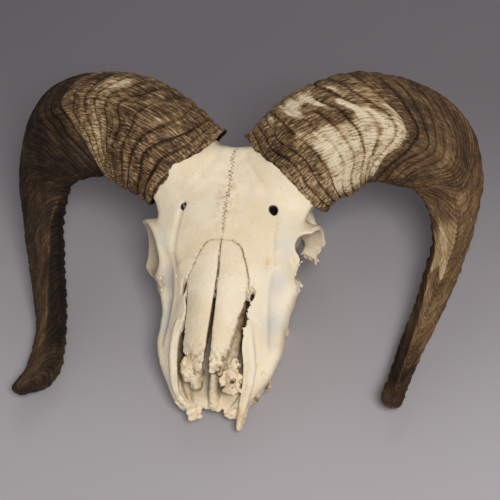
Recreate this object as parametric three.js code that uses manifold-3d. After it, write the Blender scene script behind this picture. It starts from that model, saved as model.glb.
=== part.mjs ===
// Ram skull without its lower jaw, incisive bones or front teeth, with both horns.
// Millimetres. +X is the skull's own left, +Z is up (dorsal), the nose points to -Y.
// Shapes are laid out from the nasion, the point where the nasal and frontal bones meet
// on the midline, and the finished skull is moved so that its lowest flats lie on z = 0.
import * as THREE from "three";
import { mergeVertices } from "three/addons/utils/BufferGeometryUtils.js";
import Module from "manifold-3d";

const wasm = await Module();
wasm.setup();

// ---------------------------------------------------------------- driving dimensions
const NASION_HEIGHT = 98;        // nasion above the floor that the teeth stand on
const SEAM = 0.3;                // gap between touching pieces
const WALL = 3;                  // bone wall round the nasal cavity

// Face, from the broken front of the upper jaw back to the orbits. Each row is one section:
// y, height of the ridge, half-width and drop of the roof, half-width and height of the
// cheek, half-width of the gum.
const FACE = [
  [-104, -60, 15, 5, 25, -76, 20],
  [-90, -50, 18, 5, 34, -72, 28],
  [-75, -41, 21, 5, 43, -67, 35],
  [-58, -31, 24, 6, 49, -60, 38],
  [-35, -19, 27, 8, 50, -52, 38],
  [-12, -6, 37, 9, 56, -38, 36],
  [6, 2, 44, 12, 60, -33, 31],
  [24, 9, 44, 14, 56, -30, 24],
];
const GUM_HEIGHT = -86;          // lower edge of the jaw bone beside the teeth
const PALATE_HEIGHT = -79;       // roof of the mouth
const PALATE_THICKNESS = 4;

// Forehead plate: y, height of the midline, half-width, droop of the side, thickness.
const FOREHEAD = [
  [-14, -7, 30, 8, 14],
  [0, 0, 48, 12, 18],
  [14, 6.5, 58, 15, 24],
  [30, 14, 67, 16, 28],
  [44, 21, 69, 14, 36],
  [56, 26, 64, 12, 44],
  [66, 28, 54, 11, 48],
  [76, 22, 44, 12, 46],
  [86, 7, 34, 12, 36],
];

// Orbits: the socket is hollowed out of a cup that ends in a thin rim. Rows of bars, here and
// below, are x, y, z, radius across, radius up, and are mirrored for the other side.
const ORBIT_CENTRE = [69, 12, -29];
const ORBIT_SIZE = [48, 19, 18];
const ORBIT_CUP = [[34, 21, -28, 27, 26], [50, 17.5, -29, 24, 23], [66, 14, -29, 22, 22]];
const ORBIT_BREAK = { centre: [68, -2, -48], size: [26, 24, 24] };    // lost from the left rim
const TEMPLE = { centre: [64, 52, -34], size: [27, 20, 24] };         // hollow behind the orbit
const ORBIT_PASSAGE = { centre: [38, 36, -36], size: [18, 16, 17] };  // from the orbit to it
const FORAMEN = { centre: [33, 22, 6], size: [3, 3, 12] };            // holes above the orbits

// Cheek arch: its front half is broken off on the left side.
const ARCH_FRONT = [
  [44, -26, -52, 5, 8], [56, -8, -52, 5, 8], [63, 12, -53, 4, 6.5],
  [62, 34, -51, 3.5, 5.5], [57, 50, -51, 3.2, 4.5],
];
const ARCH_REAR = [[50, 64, -50, 3, 4], [40, 78, -48, 6, 7]];

// Braincase and occiput: y, height of the top, half-width, height where it is widest, base.
const REAR = [
  [26, 8, 24, -30, -60],
  [42, 12, 36, -26, -62],
  [60, 18, 39, -27, -64],
  [76, 12, 42, -32, -66],
  [88, -1, 43, -38, -68],
  [96, -12, 35, -42, -68],
  [102, -27, 22, -50, -67],
];
const WALLS = { centre: [0, 20, -42], size: [17, 46, 34] };           // bone between the orbits
const SPINAL_HOLE = { centre: [0, 106, -46], size: [9, 14, 10] };
const THROAT = { centre: [0, 14, -84], size: [12, 22, 16] };          // back of the nasal passages

// Underside.
const SKULL_BASE = [[0, 10, -66, 11, 8], [0, 50, -68, 12, 8], [0, 96, -66, 15, 9]];
const CONDYLE = { centre: [15, 102, -61], size: [10, 10, 12], turn: [0.3, 0, -0.3] };
const EAR_BULLA = { centre: [27, 68, -67], size: [10, 14, 12] };
const JUGULAR_PROCESS = [
  [31, 84, -46, 8, 9], [34, 89, -66, 6, 8], [34, 89, -84, 4, 6], [33, 88, -99, 2.6, 4],
];
const JAW_END = [[30, -14, -72, 9, 12], [24, 6, -74, 6, 12], [17, 24, -78, 3, 11]];
const PTERYGOID = [[15, 24, -70, 3, 14], [14, 38, -74, 2.5, 9]];

// Inside the nose, and the broken ends of the upper jaw, one on each side.
const TURBINATE = [[12, -2, -34, 5, 6], [13, -48, -48, 6, 7], [14, -90, -63, 6, 6.5]];
const VOMER = [[0, -14, -70, 2, 9], [0, -60, -71, 2.5, 8], [0, -98, -74, 3, 6]];
const LEFT_SPIKE = [[24, -96, -78, 3, 9], [23, -108, -84, 2.5, 7], [23, -116, -90, 1, 2]];
const RIGHT_SCRAP = [[-14, -96, -80, 6, 3], [-10, -109, -83, 5, 2]];

// Horns: stations along the centreline from the base to the tip. Each row is x outward,
// y, z, half-width across the curl, half-depth of the section.
const HORN_LEFT = [
  [35, 62, 7, 40, 27],
  [68, 70, 34, 42, 31],
  [103, 84, 38, 40, 31],
  [141, 92, 16, 37, 29],
  [158, 86, -15, 29, 23],
  [162, 57, -43, 17, 15],
  [153, 14, -64, 13, 11.5],
  [139, -32, -82, 10, 9],
  [134, -80, -78, 9, 8],
];
const HORN_RIGHT = [
  [37, 62, 7, 40, 27],
  [71, 72, 34, 42, 31],
  [107, 85, 36, 40, 30],
  [151, 91, 17, 39, 30],
  [175, 83, -15, 30, 24],
  [177, 57, -40, 21, 18],
  [166, 15, -62, 17, 15],
  [153, -28, -80, 15, 13],
  [148, -70, -84, 16, 14],
  [155, -92, -79, 12, 8],
];
const HORN_FACE = [0.1, -0.67, 0.66];   // way the broad face looks at the base
const HORN_RINGS = 34;
const HORN_SIDES = 16;
const HORN_FLATTEN = 0.2;               // how flat the broad face is
const HORN_KEELS = [[0, 0.06, 22], [170, 0.04, 25], [265, 0.1, 35]];  // angle, height, width
const HORN_STATIONS = 160;              // steps along the centreline that its turning is carried through
const HORN_TIP = [[3, 0.86], [5, 0.55]];   // the blunt tip: reach past the last station, size
const RIM_SLANT = { most: 11, angle: 45 }; // the rim on the bone stands back most at this angle
const CORE_LENGTH = 0.2;                // share of the horn that its bone core fills
const CORE_SCALE = 0.66;
const CORE_CLEARANCE = 0.05;
const CORE_RINGS = 6;
const PEDICLE_FOOT = [16, 60, -24];     // where the horn's bony root joins the braincase
const PEDICLE_RINGS = [[-0.03, 0.9], [0.4, 0.84], [1, 0.5]];   // share of the way to it, size

// Nasal bones: y of section, half-width of the pair, droop of the outer edge.
const NASAL = [
  [-3, 6, 1],
  [-14, 18, 3],
  [-27, 24, 6],
  [-45, 23, 7],
  [-62, 21, 7],
  [-76, 17, 6],
];
const NASAL_TIP = -90;
const NASAL_THICKNESS = 2.6;
const NASAL_SLIT = [0.2, 4];     // half-width of the slit between the bones, back and front
const NOSE_MOUTH = { left: 28, right: 25.5 };   // edges of the jaw bone beside the nasals

// Cheek teeth: three premolars and three molars a side.
const TOOTH_FRONT = -80;
const TOOTH_LENGTHS = [8, 9.5, 11, 13.5, 16, 17];
const TOOTH_WIDTHS = [8, 10, 12, 14, 15, 14];
const TOOTH_LINE = [23, 32];     // half-distance between the rows, front and back
const TOOTH_HEIGHT = 18;
const TOOTH_OVERLAP = 0.53;      // half-length of a crown as a share of its place in the row

const FAR = 300;                 // beyond the skull on every side

// ---------------------------------------------------------------- small helpers
const lerp = (a, b, t) => a + (b - a) * t;

function catmull(rows, count) {
  const last = rows.length - 1;
  const row = (i) => {
    if (i < 0) return rows[0].map((v, k) => 2 * v - rows[1][k]);
    if (i > last) return rows[last].map((v, k) => 2 * v - rows[last - 1][k]);
    return rows[i];
  };
  const out = [];
  for (let n = 0; n < count; n += 1) {
    const t = (n / (count - 1)) * last;
    const i = Math.min(Math.floor(t), last - 1);
    const f = t - i;
    const [a, b, c, d] = [row(i - 1), row(i), row(i + 1), row(i + 2)];
    out.push(b.map((_, k) => 0.5 * (2 * b[k] + (c[k] - a[k]) * f
      + (2 * a[k] - 5 * b[k] + 4 * c[k] - d[k]) * f * f
      + (3 * b[k] - a[k] - 3 * c[k] + d[k]) * f * f * f)));
  }
  return out;
}

function rowAt(rows, y) {
  const up = rows[0][0] < rows[rows.length - 1][0];
  const sorted = up ? rows : [...rows].reverse();
  let i = 0;
  while (i < sorted.length - 2 && y > sorted[i + 1][0]) i += 1;
  const t = Math.min(Math.max((y - sorted[i][0]) / (sorted[i + 1][0] - sorted[i][0]), 0), 1);
  return sorted[i].map((v, k) => lerp(v, sorted[i + 1][k], t));
}

function solidOf(geometry) {
  const bare = geometry.clone();
  bare.deleteAttribute("normal");
  bare.deleteAttribute("uv");
  const merged = mergeVertices(bare, 1e-4);
  const mesh = new wasm.Mesh({
    numProp: 3,
    vertProperties: new Float32Array(merged.attributes.position.array),
    triVerts: new Uint32Array(merged.index.array),
  });
  return new wasm.Manifold(mesh);
}

// Closed loft through rings of points that all have the same count.
function loft(rings) {
  const sides = rings[0].length;
  const points = rings.flat().map((p) => (p.toArray ? p.toArray() : p));
  const faces = [];
  for (let r = 0; r < rings.length - 1; r += 1) {
    for (let s = 0; s < sides; s += 1) {
      const a = r * sides + s;
      const b = r * sides + ((s + 1) % sides);
      faces.push(a, b, b + sides, a, b + sides, a + sides);
    }
  }
  for (const [r, turn] of [[0, false], [rings.length - 1, true]]) {
    const ring = points.slice(r * sides, (r + 1) * sides);
    const centre = ring.reduce((m, p) => m.map((v, k) => v + p[k] / sides), [0, 0, 0]);
    const hub = points.push(centre) - 1;
    for (let s = 0; s < sides; s += 1) {
      const a = r * sides + s;
      const b = r * sides + ((s + 1) % sides);
      faces.push(...(turn ? [hub, a, b] : [hub, b, a]));
    }
  }
  const geometry = new THREE.BufferGeometry();
  geometry.setAttribute("position", new THREE.Float32BufferAttribute(points.flat(), 3));
  geometry.setIndex(faces);
  const solid = solidOf(geometry);
  return solid.volume() < 0 ? flip(geometry) : solid;
}

function flip(geometry) {
  const index = Array.from(geometry.index.array);
  for (let i = 0; i < index.length; i += 3) {
    [index[i], index[i + 1]] = [index[i + 1], index[i]];
  }
  geometry.setIndex(index);
  return solidOf(geometry);
}

// Round bar through rows of x, y, z, radius across, radius up.
function bar(rows, steps = 8, sides = 8, grow = 0) {
  const centres = catmull(rows, steps);
  const rings = centres.map((c, i) => {
    const before = new THREE.Vector3(...centres[Math.max(i - 1, 0)].slice(0, 3));
    const after = new THREE.Vector3(...centres[Math.min(i + 1, steps - 1)].slice(0, 3));
    const along = after.sub(before).normalize();
    const level = Math.abs(along.z) > 0.9 ? new THREE.Vector3(0, 1, 0) : new THREE.Vector3(0, 0, 1);
    const across = new THREE.Vector3().crossVectors(along, level).normalize();
    const up = new THREE.Vector3().crossVectors(across, along).normalize();
    return Array.from({ length: sides }, (_, s) => {
      const angle = (s / sides) * 2 * Math.PI;
      return new THREE.Vector3(...c.slice(0, 3))
        .addScaledVector(across, (c[3] + grow) * Math.cos(angle))
        .addScaledVector(up, (c[4] + grow) * Math.sin(angle));
    });
  });
  return loft(rings);
}

function ball(centre, size, detail = 16, turn = [0, 0, 0]) {
  const geometry = new THREE.SphereGeometry(1, detail, Math.round(detail * 0.6));
  geometry.scale(...size);
  geometry.rotateX(turn[0]);
  geometry.rotateY(turn[1]);
  geometry.rotateZ(turn[2]);
  geometry.translate(...centre);
  return solidOf(geometry);
}

function block(low, high) {
  const geometry = new THREE.BoxGeometry(...high.map((v, k) => v - low[k]));
  geometry.translate(...high.map((v, k) => (v + low[k]) / 2));
  return solidOf(geometry);
}

const ballOf = ({ centre, size, turn }, detail) => ball(centre, size, detail, turn);
const mirrored = (solid) => solid.mirror([1, 0, 0]);
const bothSides = (solid) => solid.add(mirrored(solid));

// Ring at one y through a left and a right half outline of x, z points.
function ringFromHalves(leftHalf, rightHalf, y, count) {
  const spaced = (half) => new THREE.CatmullRomCurve3(
    half.map(([x, z]) => new THREE.Vector3(x, y, z)), false, "centripetal").getSpacedPoints(count);
  const right = spaced(rightHalf).slice(1, -1).reverse();
  return [...spaced(leftHalf), ...right.map((p) => new THREE.Vector3(-p.x, p.y, p.z))];
}

const ringFromHalf = (half, y, count) => ringFromHalves(half, half, y, count);

// ---------------------------------------------------------------- bones of the skull
function faceSolid() {
  return loft(catmull(FACE, 12).map(([y, ridge, roof, drop, cheek, cheekZ, gum]) => {
    const half = [
      [0, ridge],
      [roof * 0.6, ridge - drop * 0.35],
      [roof, ridge - drop],
      [lerp(roof, cheek, 0.6), lerp(ridge - drop, cheekZ, 0.5)],
      [cheek, cheekZ],
      [lerp(cheek, gum, 0.5), lerp(cheekZ, GUM_HEIGHT, 0.55)],
      [gum, GUM_HEIGHT],
      [gum - 9, GUM_HEIGHT],
      [gum - 14, PALATE_HEIGHT - 2],
      [0, PALATE_HEIGHT],
    ];
    return ringFromHalf(half, y, 10);
  }));
}

function foreheadSolid(grow = 0) {
  return loft(catmull(FOREHEAD, 11).map(([y, crown, width, droop, thick], i) => {
    const end = i === 0 ? -grow : i === 10 ? grow : 0;
    const half = [
      [0, crown + grow],
      [width * 0.45, crown - droop * 0.12 + grow],
      [width * 0.8, crown - droop * 0.55 + grow],
      [width + grow, crown - droop],
      [width * 0.85, crown - droop - thick * 0.25 - grow],
      [width * 0.5, crown - thick * 0.9 - grow],
      [0, crown - thick - grow],
    ];
    return ringFromHalf(half, y + end, 9);
  }));
}

function nasalCavity() {
  return loft(catmull(FACE.slice(0, 6), 8).map(([y, ridge, roof, drop, cheek, cheekZ, gum]) => {
    const open = y < -34;
    const halfOf = (edge) => {
      const top = open ? ridge + 6 : ridge - drop - WALL - 1;
      const mouth = open ? Math.min(edge, roof + 3) : roof * 0.7;
      return [
        [0, top],
        [mouth, top],
        [mouth, ridge - drop - 2 * WALL],
        [lerp(roof, cheek, 0.55) - WALL, lerp(ridge - drop, cheekZ, 0.55)],
        [gum - 8, cheekZ - 4],
        [gum - 13, PALATE_HEIGHT + PALATE_THICKNESS + 2],
        [0, PALATE_HEIGHT + PALATE_THICKNESS],
      ];
    };
    const front = y < -100 ? y - 10 : y;
    return ringFromHalves(halfOf(NOSE_MOUTH.left), halfOf(NOSE_MOUTH.right), front, 9);
  }));
}

function nasalPlate(side, grow = 0) {
  const rows = catmull(NASAL, 10);
  rows.push([NASAL_TIP, 11, 4]);
  const rings = rows.map(([y, width, droop], i) => {
    const share = i / (rows.length - 1);
    const ridge = rowAt(FACE, y)[1] + 1.2;
    const slit = lerp(NASAL_SLIT[0], NASAL_SLIT[1], share) - grow;
    const outer = Math.max(width + grow, slit + 3);
    const tip = i === rows.length - 1 ? -grow : 0;
    const shift = i === 0 ? grow : tip;
    const upper = [];
    const lower = [];
    for (let k = 0; k <= 4; k += 1) {
      const x = lerp(slit, outer, k / 4);
      const z = ridge - droop * (x / outer) ** 2;
      upper.push([x * side, y + shift, z + grow]);
      lower.push([x * side, y + shift, z - NASAL_THICKNESS - grow]);
    }
    return [...upper, ...lower.reverse()];
  });
  return loft(rings);
}

function toothRow(side) {
  let y = TOOTH_FRONT;
  const total = TOOTH_LENGTHS.reduce((sum, length) => sum + length, 0);
  const pieces = TOOTH_LENGTHS.map((length, i) => {
    const middle = y + length / 2;
    const x = lerp(TOOTH_LINE[0], TOOTH_LINE[1], (middle - TOOTH_FRONT) / total) * side;
    const width = TOOTH_WIDTHS[i];
    y += length;
    const crown = new THREE.Shape();
    crown.absellipse(x, middle, width / 2, length * TOOTH_OVERLAP, 0, 2 * Math.PI);
    const geometry = new THREE.ExtrudeGeometry(crown, {
      depth: TOOTH_HEIGHT, bevelEnabled: false, curveSegments: 3,
    });
    geometry.translate(0, 0, -NASION_HEIGHT);
    return solidOf(geometry);
  });
  return pieces.reduce((sum, piece) => sum.add(piece));
}

// ---------------------------------------------------------------- horns
function hornRings(rows, side, count, scale, from = 0, to = 1) {
  const all = catmull(rows, HORN_STATIONS);
  const last = HORN_STATIONS - 1;
  const centres = all.map((r) => new THREE.Vector3(r[0] * side, r[1], r[2]));
  const face = new THREE.Vector3(HORN_FACE[0] * side, HORN_FACE[1], HORN_FACE[2]).normalize();
  const frames = centres.map((c, i) => {
    const along = centres[Math.min(i + 1, last)].clone().sub(centres[Math.max(i - 1, 0)]).normalize();
    face.addScaledVector(along, -face.dot(along)).normalize();
    const across = new THREE.Vector3().crossVectors(along, face).multiplyScalar(side);
    return { c, along, face: face.clone(), across };
  });
  return Array.from({ length: count }, (_, n) => {
    const i = Math.round(lerp(from, to, n / (count - 1)) * last);
    const { c, along, face: up, across } = frames[i];
    const [, , , width, depth] = all[i];
    return Array.from({ length: HORN_SIDES }, (_, s) => {
      const degrees = (s / HORN_SIDES) * 360;
      const angle = THREE.MathUtils.degToRad(degrees);
      let reach = 1 - HORN_FLATTEN * Math.max(0, Math.sin(angle)) ** 1.5;
      for (const [at, height, spread] of HORN_KEELS) {
        const off = ((degrees - at + 540) % 360) - 180;
        reach += height * Math.exp(-((off / spread) ** 2));
      }
      const back = Math.cos(THREE.MathUtils.degToRad(degrees - RIM_SLANT.angle));
      return c.clone()
        .addScaledVector(along, i === 0 ? RIM_SLANT.most * (0.5 + 0.5 * back) : 0)
        .addScaledVector(across, width * reach * Math.cos(angle) * scale)
        .addScaledVector(up, depth * reach * Math.sin(angle) * scale);
    });
  });
}

function hornSolid(rows, side) {
  const rings = hornRings(rows, side, HORN_RINGS, 1);
  const middleOf = (ring) => ring.reduce(
    (sum, p) => sum.addScaledVector(p, 1 / ring.length), new THREE.Vector3());
  const tip = rings[rings.length - 1];
  const centre = middleOf(tip);
  const along = centre.clone().sub(middleOf(rings[rings.length - 2])).normalize();
  for (const [reach, shrink] of HORN_TIP) {
    rings.push(tip.map((p) => p.clone().sub(centre).multiplyScalar(shrink)
      .add(centre).addScaledVector(along, reach)));
  }
  return loft(rings);
}

function coreSolid(rows, side, clearance = 0) {
  const end = CORE_LENGTH + clearance * 0.4;
  return loft(hornRings(rows, side, CORE_RINGS, CORE_SCALE + clearance, 0, end));
}

function pedicleSolid(rows, side, grow = 0) {
  const [rim] = hornRings(rows, side, 2, 1);
  const centre = new THREE.Vector3(rows[0][0] * side, rows[0][1], rows[0][2]);
  const foot = new THREE.Vector3(PEDICLE_FOOT[0] * side, PEDICLE_FOOT[1], PEDICLE_FOOT[2]);
  const ringAt = (share, scale) => rim.map((p) => p.clone().sub(centre)
    .multiplyScalar(scale + grow / rows[0][3]).add(centre.clone().lerp(foot, share)));
  return loft(PEDICLE_RINGS.map(([share, scale], i) => ringAt(i ? share : share - grow * 0.02, scale)));
}

// ---------------------------------------------------------------- the skull in one piece
function rearSolid(grow = 0) {
  return loft(catmull(REAR, 9).map(([y, top, width, middle, floor], i) => ringFromHalf([
    [0, top + grow],
    [width * 0.55 + grow, lerp(top, middle, 0.18) + grow],
    [width * 0.9 + grow, lerp(top, middle, 0.6)],
    [width + grow, middle],
    [width * 0.85 + grow, lerp(middle, floor, 0.6)],
    [width * 0.5, lerp(middle, floor, 0.95) - grow],
    [0, floor - grow],
  ], y + (i === 8 ? grow : 0), 8)));
}

function cheekArch(side) {
  return side > 0 ? bar(ARCH_REAR, 3, 6) : mirrored(bar([...ARCH_FRONT, ...ARCH_REAR], 10, 6));
}

// The orbit stands out as a cup. The left one has lost its lower front edge.
function orbitCups() {
  const cup = bar(ORBIT_CUP, 3, 14);
  return cup.subtract(ballOf(ORBIT_BREAK, 8)).add(mirrored(cup));
}

function underside() {
  const paired = [
    ballOf(CONDYLE, 9),
    ballOf(EAR_BULLA, 8),
    bar(JUGULAR_PROCESS, 5, 6),
    bar(JAW_END, 4, 6),
    bar(PTERYGOID, 3, 6),
  ];
  return paired.reduce((sum, piece) => sum.add(bothSides(piece)), bar(SKULL_BASE, 4, 8));
}

// Thin bones inside the nose and the broken front of the jaw.
function noseParts() {
  return bothSides(bar(TURBINATE, 5, 6))
    .add(bar(VOMER, 4, 6))
    .add(bar(LEFT_SPIKE, 4, 6))
    .add(bar(RIGHT_SCRAP, 3, 6));
}

const belowFloor = () => block([-FAR, -FAR, -FAR], [FAR, FAR, -NASION_HEIGHT]);

function craniumSolid() {
  const orbit = ball(ORBIT_CENTRE, ORBIT_SIZE, 14);
  let solid = faceSolid().add(foreheadSolid()).add(ballOf(WALLS, 10)).add(orbitCups());
  for (const hollow of [orbit, ballOf(TEMPLE, 10), ballOf(ORBIT_PASSAGE, 8)]) {
    solid = solid.subtract(bothSides(hollow));
  }
  solid = solid.add(rearSolid()).add(underside()).add(cheekArch(1)).add(cheekArch(-1));
  for (const [side, rows] of [[1, HORN_LEFT], [-1, HORN_RIGHT]]) {
    solid = solid.add(pedicleSolid(rows, side)).add(coreSolid(rows, side));
  }
  const holes = [bothSides(ballOf(FORAMEN, 8)), nasalCavity(), ballOf(SPINAL_HOLE, 10), ballOf(THROAT, 10)];
  for (const hole of [...holes, nasalPlate(1, SEAM), nasalPlate(-1, SEAM)]) {
    solid = solid.subtract(hole);
  }
  return solid.add(toothRow(1)).add(toothRow(-1)).add(noseParts()).subtract(belowFloor());
}

// ---------------------------------------------------------------- scene graph
function meshOf(name, solid, colour, roughness) {
  const { vertProperties, triVerts } = solid.getMesh();
  const geometry = new THREE.BufferGeometry();
  geometry.setAttribute("position", new THREE.BufferAttribute(new Float32Array(vertProperties), 3));
  geometry.setIndex(new THREE.BufferAttribute(new Uint32Array(triVerts), 1));
  geometry.computeVertexNormals();
  const material = new THREE.MeshStandardMaterial({ color: colour, roughness, metalness: 0 });
  const mesh = new THREE.Mesh(geometry, material);
  mesh.name = name;
  return mesh;
}

const BONE = 0xe6dcc3;
const HORN = 0x6d573d;

function horn(rows, side) {
  return hornSolid(rows, side)
    .subtract(foreheadSolid(SEAM))
    .subtract(rearSolid(SEAM))
    .subtract(pedicleSolid(rows, side, 2 * SEAM))
    .subtract(coreSolid(rows, side, CORE_CLEARANCE))
    .subtract(belowFloor());
}

const skull = new THREE.Group();
skull.add(meshOf("cranium", craniumSolid(), BONE, 0.62));
skull.add(meshOf("nasal_left", nasalPlate(1), BONE, 0.6));
skull.add(meshOf("nasal_right", nasalPlate(-1), BONE, 0.6));
skull.add(meshOf("horn_left", horn(HORN_LEFT, 1), HORN, 0.55));
skull.add(meshOf("horn_right", horn(HORN_RIGHT, -1), HORN, 0.55));

skull.updateMatrixWorld(true);
const box = new THREE.Box3().setFromObject(skull);
const middle = box.getCenter(new THREE.Vector3());
skull.position.set(-middle.x, -middle.y, NASION_HEIGHT);

export default skull;
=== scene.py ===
import math

import bpy
import numpy as np
from mathutils import Euler, Matrix, Vector


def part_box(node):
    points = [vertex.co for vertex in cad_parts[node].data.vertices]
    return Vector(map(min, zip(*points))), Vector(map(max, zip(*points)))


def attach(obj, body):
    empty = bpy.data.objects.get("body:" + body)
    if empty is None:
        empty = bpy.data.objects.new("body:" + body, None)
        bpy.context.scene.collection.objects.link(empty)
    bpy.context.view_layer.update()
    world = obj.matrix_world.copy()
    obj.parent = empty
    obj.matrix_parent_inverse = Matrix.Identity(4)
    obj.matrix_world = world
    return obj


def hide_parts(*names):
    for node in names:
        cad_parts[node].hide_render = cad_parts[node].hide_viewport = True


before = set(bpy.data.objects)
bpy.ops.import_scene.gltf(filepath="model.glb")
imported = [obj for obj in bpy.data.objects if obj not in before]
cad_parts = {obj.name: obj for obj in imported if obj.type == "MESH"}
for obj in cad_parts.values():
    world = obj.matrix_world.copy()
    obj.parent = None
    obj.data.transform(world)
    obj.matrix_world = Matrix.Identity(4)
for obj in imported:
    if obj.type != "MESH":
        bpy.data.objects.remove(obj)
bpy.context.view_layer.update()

# Dry ram skull without its lower jaw. Sizes are in millimetres from the nasion, the point where the
# nasal and frontal bones meet on the midline, with +X to the animal's own left, -Y to the nose and
# +Z up. Bones are solids given by a signed distance on a grid, below zero inside. Horns are tubes
# of rings round a centreline, with relief raised on them.

# ---------------------------------------------------------------- frame
MM = 1000.0
NASION_HEIGHT = 98
NASAL_SLIT = 0.2                 # half-width of the slit between the nasal bones at the back
NASAL_BACK = -3
nasal_low, nasal_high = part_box("nasal_left")
NASION = np.array([nasal_low.x * MM - NASAL_SLIT, nasal_high.y * MM - NASAL_BACK, NASION_HEIGHT])
LEFT, RIGHT = 1, -1

# ---------------------------------------------------------------- driving dimensions
# Rows of one section each: y, height of the ridge, half-width and drop of the roof, half-width
# and height of the cheek, half-width of the gum.
FACE = [
    [-104, -60, 15, 5, 25, -76, 20], [-90, -50, 18, 5, 34, -72, 28], [-75, -41, 21, 5, 43, -67, 35],
    [-58, -31, 24, 6, 49, -60, 38], [-35, -19, 27, 8, 50, -52, 38], [-12, -6, 37, 9, 56, -38, 36],
    [6, 2, 44, 12, 60, -33, 31], [24, 9, 44, 14, 56, -30, 24],
]
GUM_HEIGHT = -86
PALATE_HEIGHT = -79
PALATE_THICKNESS = 4
WALL = 3
# y, height of the midline, half-width, droop of the side, thickness
FOREHEAD = [
    [-14, -7, 30, 8, 14], [0, 0, 47, 10, 18], [10, 5, 52, 11, 22], [20, 9.5, 56, 13, 25],
    [31, 14.5, 60, 15, 28], [44, 21, 63.5, 14, 36], [56, 26.5, 60, 12, 44], [66, 28.5, 54, 11, 47],
    [76, 20.5, 43, 12, 43], [86, 4, 33, 12, 33],
]
# y, height of the top, half-width, height where it is widest, base
REAR = [
    [26, 8, 24, -30, -60], [42, 12, 36, -26, -62], [60, 18, 39, -27, -64], [76, 12, 42, -32, -66],
    [88, -1, 43, -38, -68], [96, -12, 35, -42, -68], [102, -27, 22, -50, -67],
]
# Bars: x, y, z, radius across, radius up.
ORBIT_CUP = [[34, 16, -28, 28, 25], [50, 11.5, -27.5, 25.5, 23.5], [76, 9, -27, 23, 22.5]]
# The rim's plane: x = this + this * y + this * z, and the most x.
ORBIT_RIM = {LEFT: [61, 0.3, -0.1, 69], RIGHT: [52, 0.64, -0.35, 75]}
ARCH_FRONT = [
    [44, -26, -52, 5, 8], [56, -8, -52, 5, 8], [63, 12, -53, 4, 6.5], [62, 34, -51, 3.5, 5.5],
    [57, 50, -51, 3.2, 4.5],
]
ARCH_REAR = [[50, 64, -50, 3, 4], [40, 78, -48, 6, 7]]
SKULL_BASE = [[0, 10, -66, 11, 8], [0, 50, -68, 12, 8], [0, 96, -66, 15, 9]]
JUGULAR_PROCESS = [[31, 84, -46, 8, 9], [34, 89, -66, 6, 8], [34, 89, -84, 4, 6], [33, 88, -99, 2.6, 4]]
JAW_END = [[30, -14, -72, 9, 12], [24, 6, -74, 6, 12], [17, 24, -78, 3, 11]]
PTERYGOID = [[15, 24, -70, 3, 14], [14, 38, -74, 2.5, 9]]
TURBINATE = [[12, -2, -34, 5, 6], [13, -48, -48, 6, 7], [13.5, -80, -59, 5.5, 5.5]]
VOMER = [[1, -14, -72, 2, 7], [2, -70, -73, 2.8, 7], [3.2, -82, -66, 3.8, 12], [3.6, -91, -69, 4, 9.5],
         [3, -99, -76, 4.2, 4.5]]
LEFT_SPIKE = [[25, -94, -79, 3, 6], [24, -104, -84, 3, 5], [22.5, -111, -89, 1.2, 2]]
RIGHT_SCRAP = [[-13, -98, -79, 6.4, 2.2], [-10, -108, -82, 5.4, 1.6]]
LEFT_SNAGS = [([37, -73, -80], [3, 4.5, 5]), ([32, -87, -80], [2.6, 3.6, 4.5])]
# Thickened edge of the upper jaw beside the open nose.
LEFT_STRIP = [[26.5, -53, -38, 2.2, 2.4], [28, -66, -45.5, 4.2, 2.8], [29.8, -78, -55, 4.8, 2.8],
              [29, -89, -64, 4.4, 2.8], [26.6, -99, -73, 3.2, 2.8], [24.6, -108.5, -80.5, 2.4, 2.6],
              [23.8, -113.5, -84.5, 1.6, 2]]
RIGHT_STRIP = [[-29, -52, -38.5, 2, 2.2], [-30.6, -61, -44.5, 3, 2.4], [-31, -72, -52, 3, 2.4],
               [-29.6, -84, -61, 2.8, 2.4], [-26, -95, -68.5, 2.4, 2.4], [-18, -103, -73, 1.8, 2]]
# Balls: centre and half-sizes.
ORBIT = ([70, 9, -27], [46, 20, 19.3])
ORBIT_NOTCH = ([63, 4, -13], [8.5, 10, 13])
ORBIT_BREAKS = [([74, -9, -33], [20, 24, 26]), ([70, 5, -30], [15, 11, 20]), ([64, 2, -59], [22, 30, 17]),
                ([45, 33, -42], [9, 13, 13]), ([51, 13, -47], [13, 12, 12.5]),
                ([71, 19, -43], [9, 16, 10])]
TEMPLE = ([64, 52, -34], [27, 20, 24])
PASSAGE = ([38, 36, -36], [18, 16, 17])
WALLS = ([0, 20, -42], [17, 46, 34])
SPINAL_HOLE = ([0, 106, -46], [9, 14, 10])
THROAT = ([0, 14, -84], [12, 22, 16])
CONDYLE = ([15, 102, -61], [10, 10, 12])
EAR_BULLA = ([27, 68, -67], [10, 14, 12])
# Nasal bones: y, half-width, droop of the outer edge. The right one stays wider to the front.
NASALS = {
    LEFT: [[-3, 9, 1], [-5, 13, 1.4], [-8, 16.6, 2], [-14, 19.2, 3], [-21, 22, 5], [-28, 23.4, 6],
           [-39, 21.6, 7], [-50, 19.1, 7], [-62, 17.6, 7], [-72, 15.8, 6.5], [-80, 13.2, 6], [-90, 10, 4]],
    RIGHT: [[-3, 7, 1], [-5, 11, 1.4], [-9, 14.4, 2], [-18, 20, 4], [-25, 24.4, 6], [-31, 24.6, 6],
            [-39, 23.3, 7], [-50, 22.6, 7], [-63, 22, 7], [-74, 21.4, 7], [-81, 16.4, 6], [-90, 10, 4]],
}
SLIT_FRONT = {LEFT: (1.7, 0.7), RIGHT: (3.6, 1.6)}     # half-width at the front, how late it widens
NASAL_RISE = 1.2
NASAL_BULGE = 1.7
NASAL_THICKNESS = 2.6
NASAL_GAP = 0.4
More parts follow.
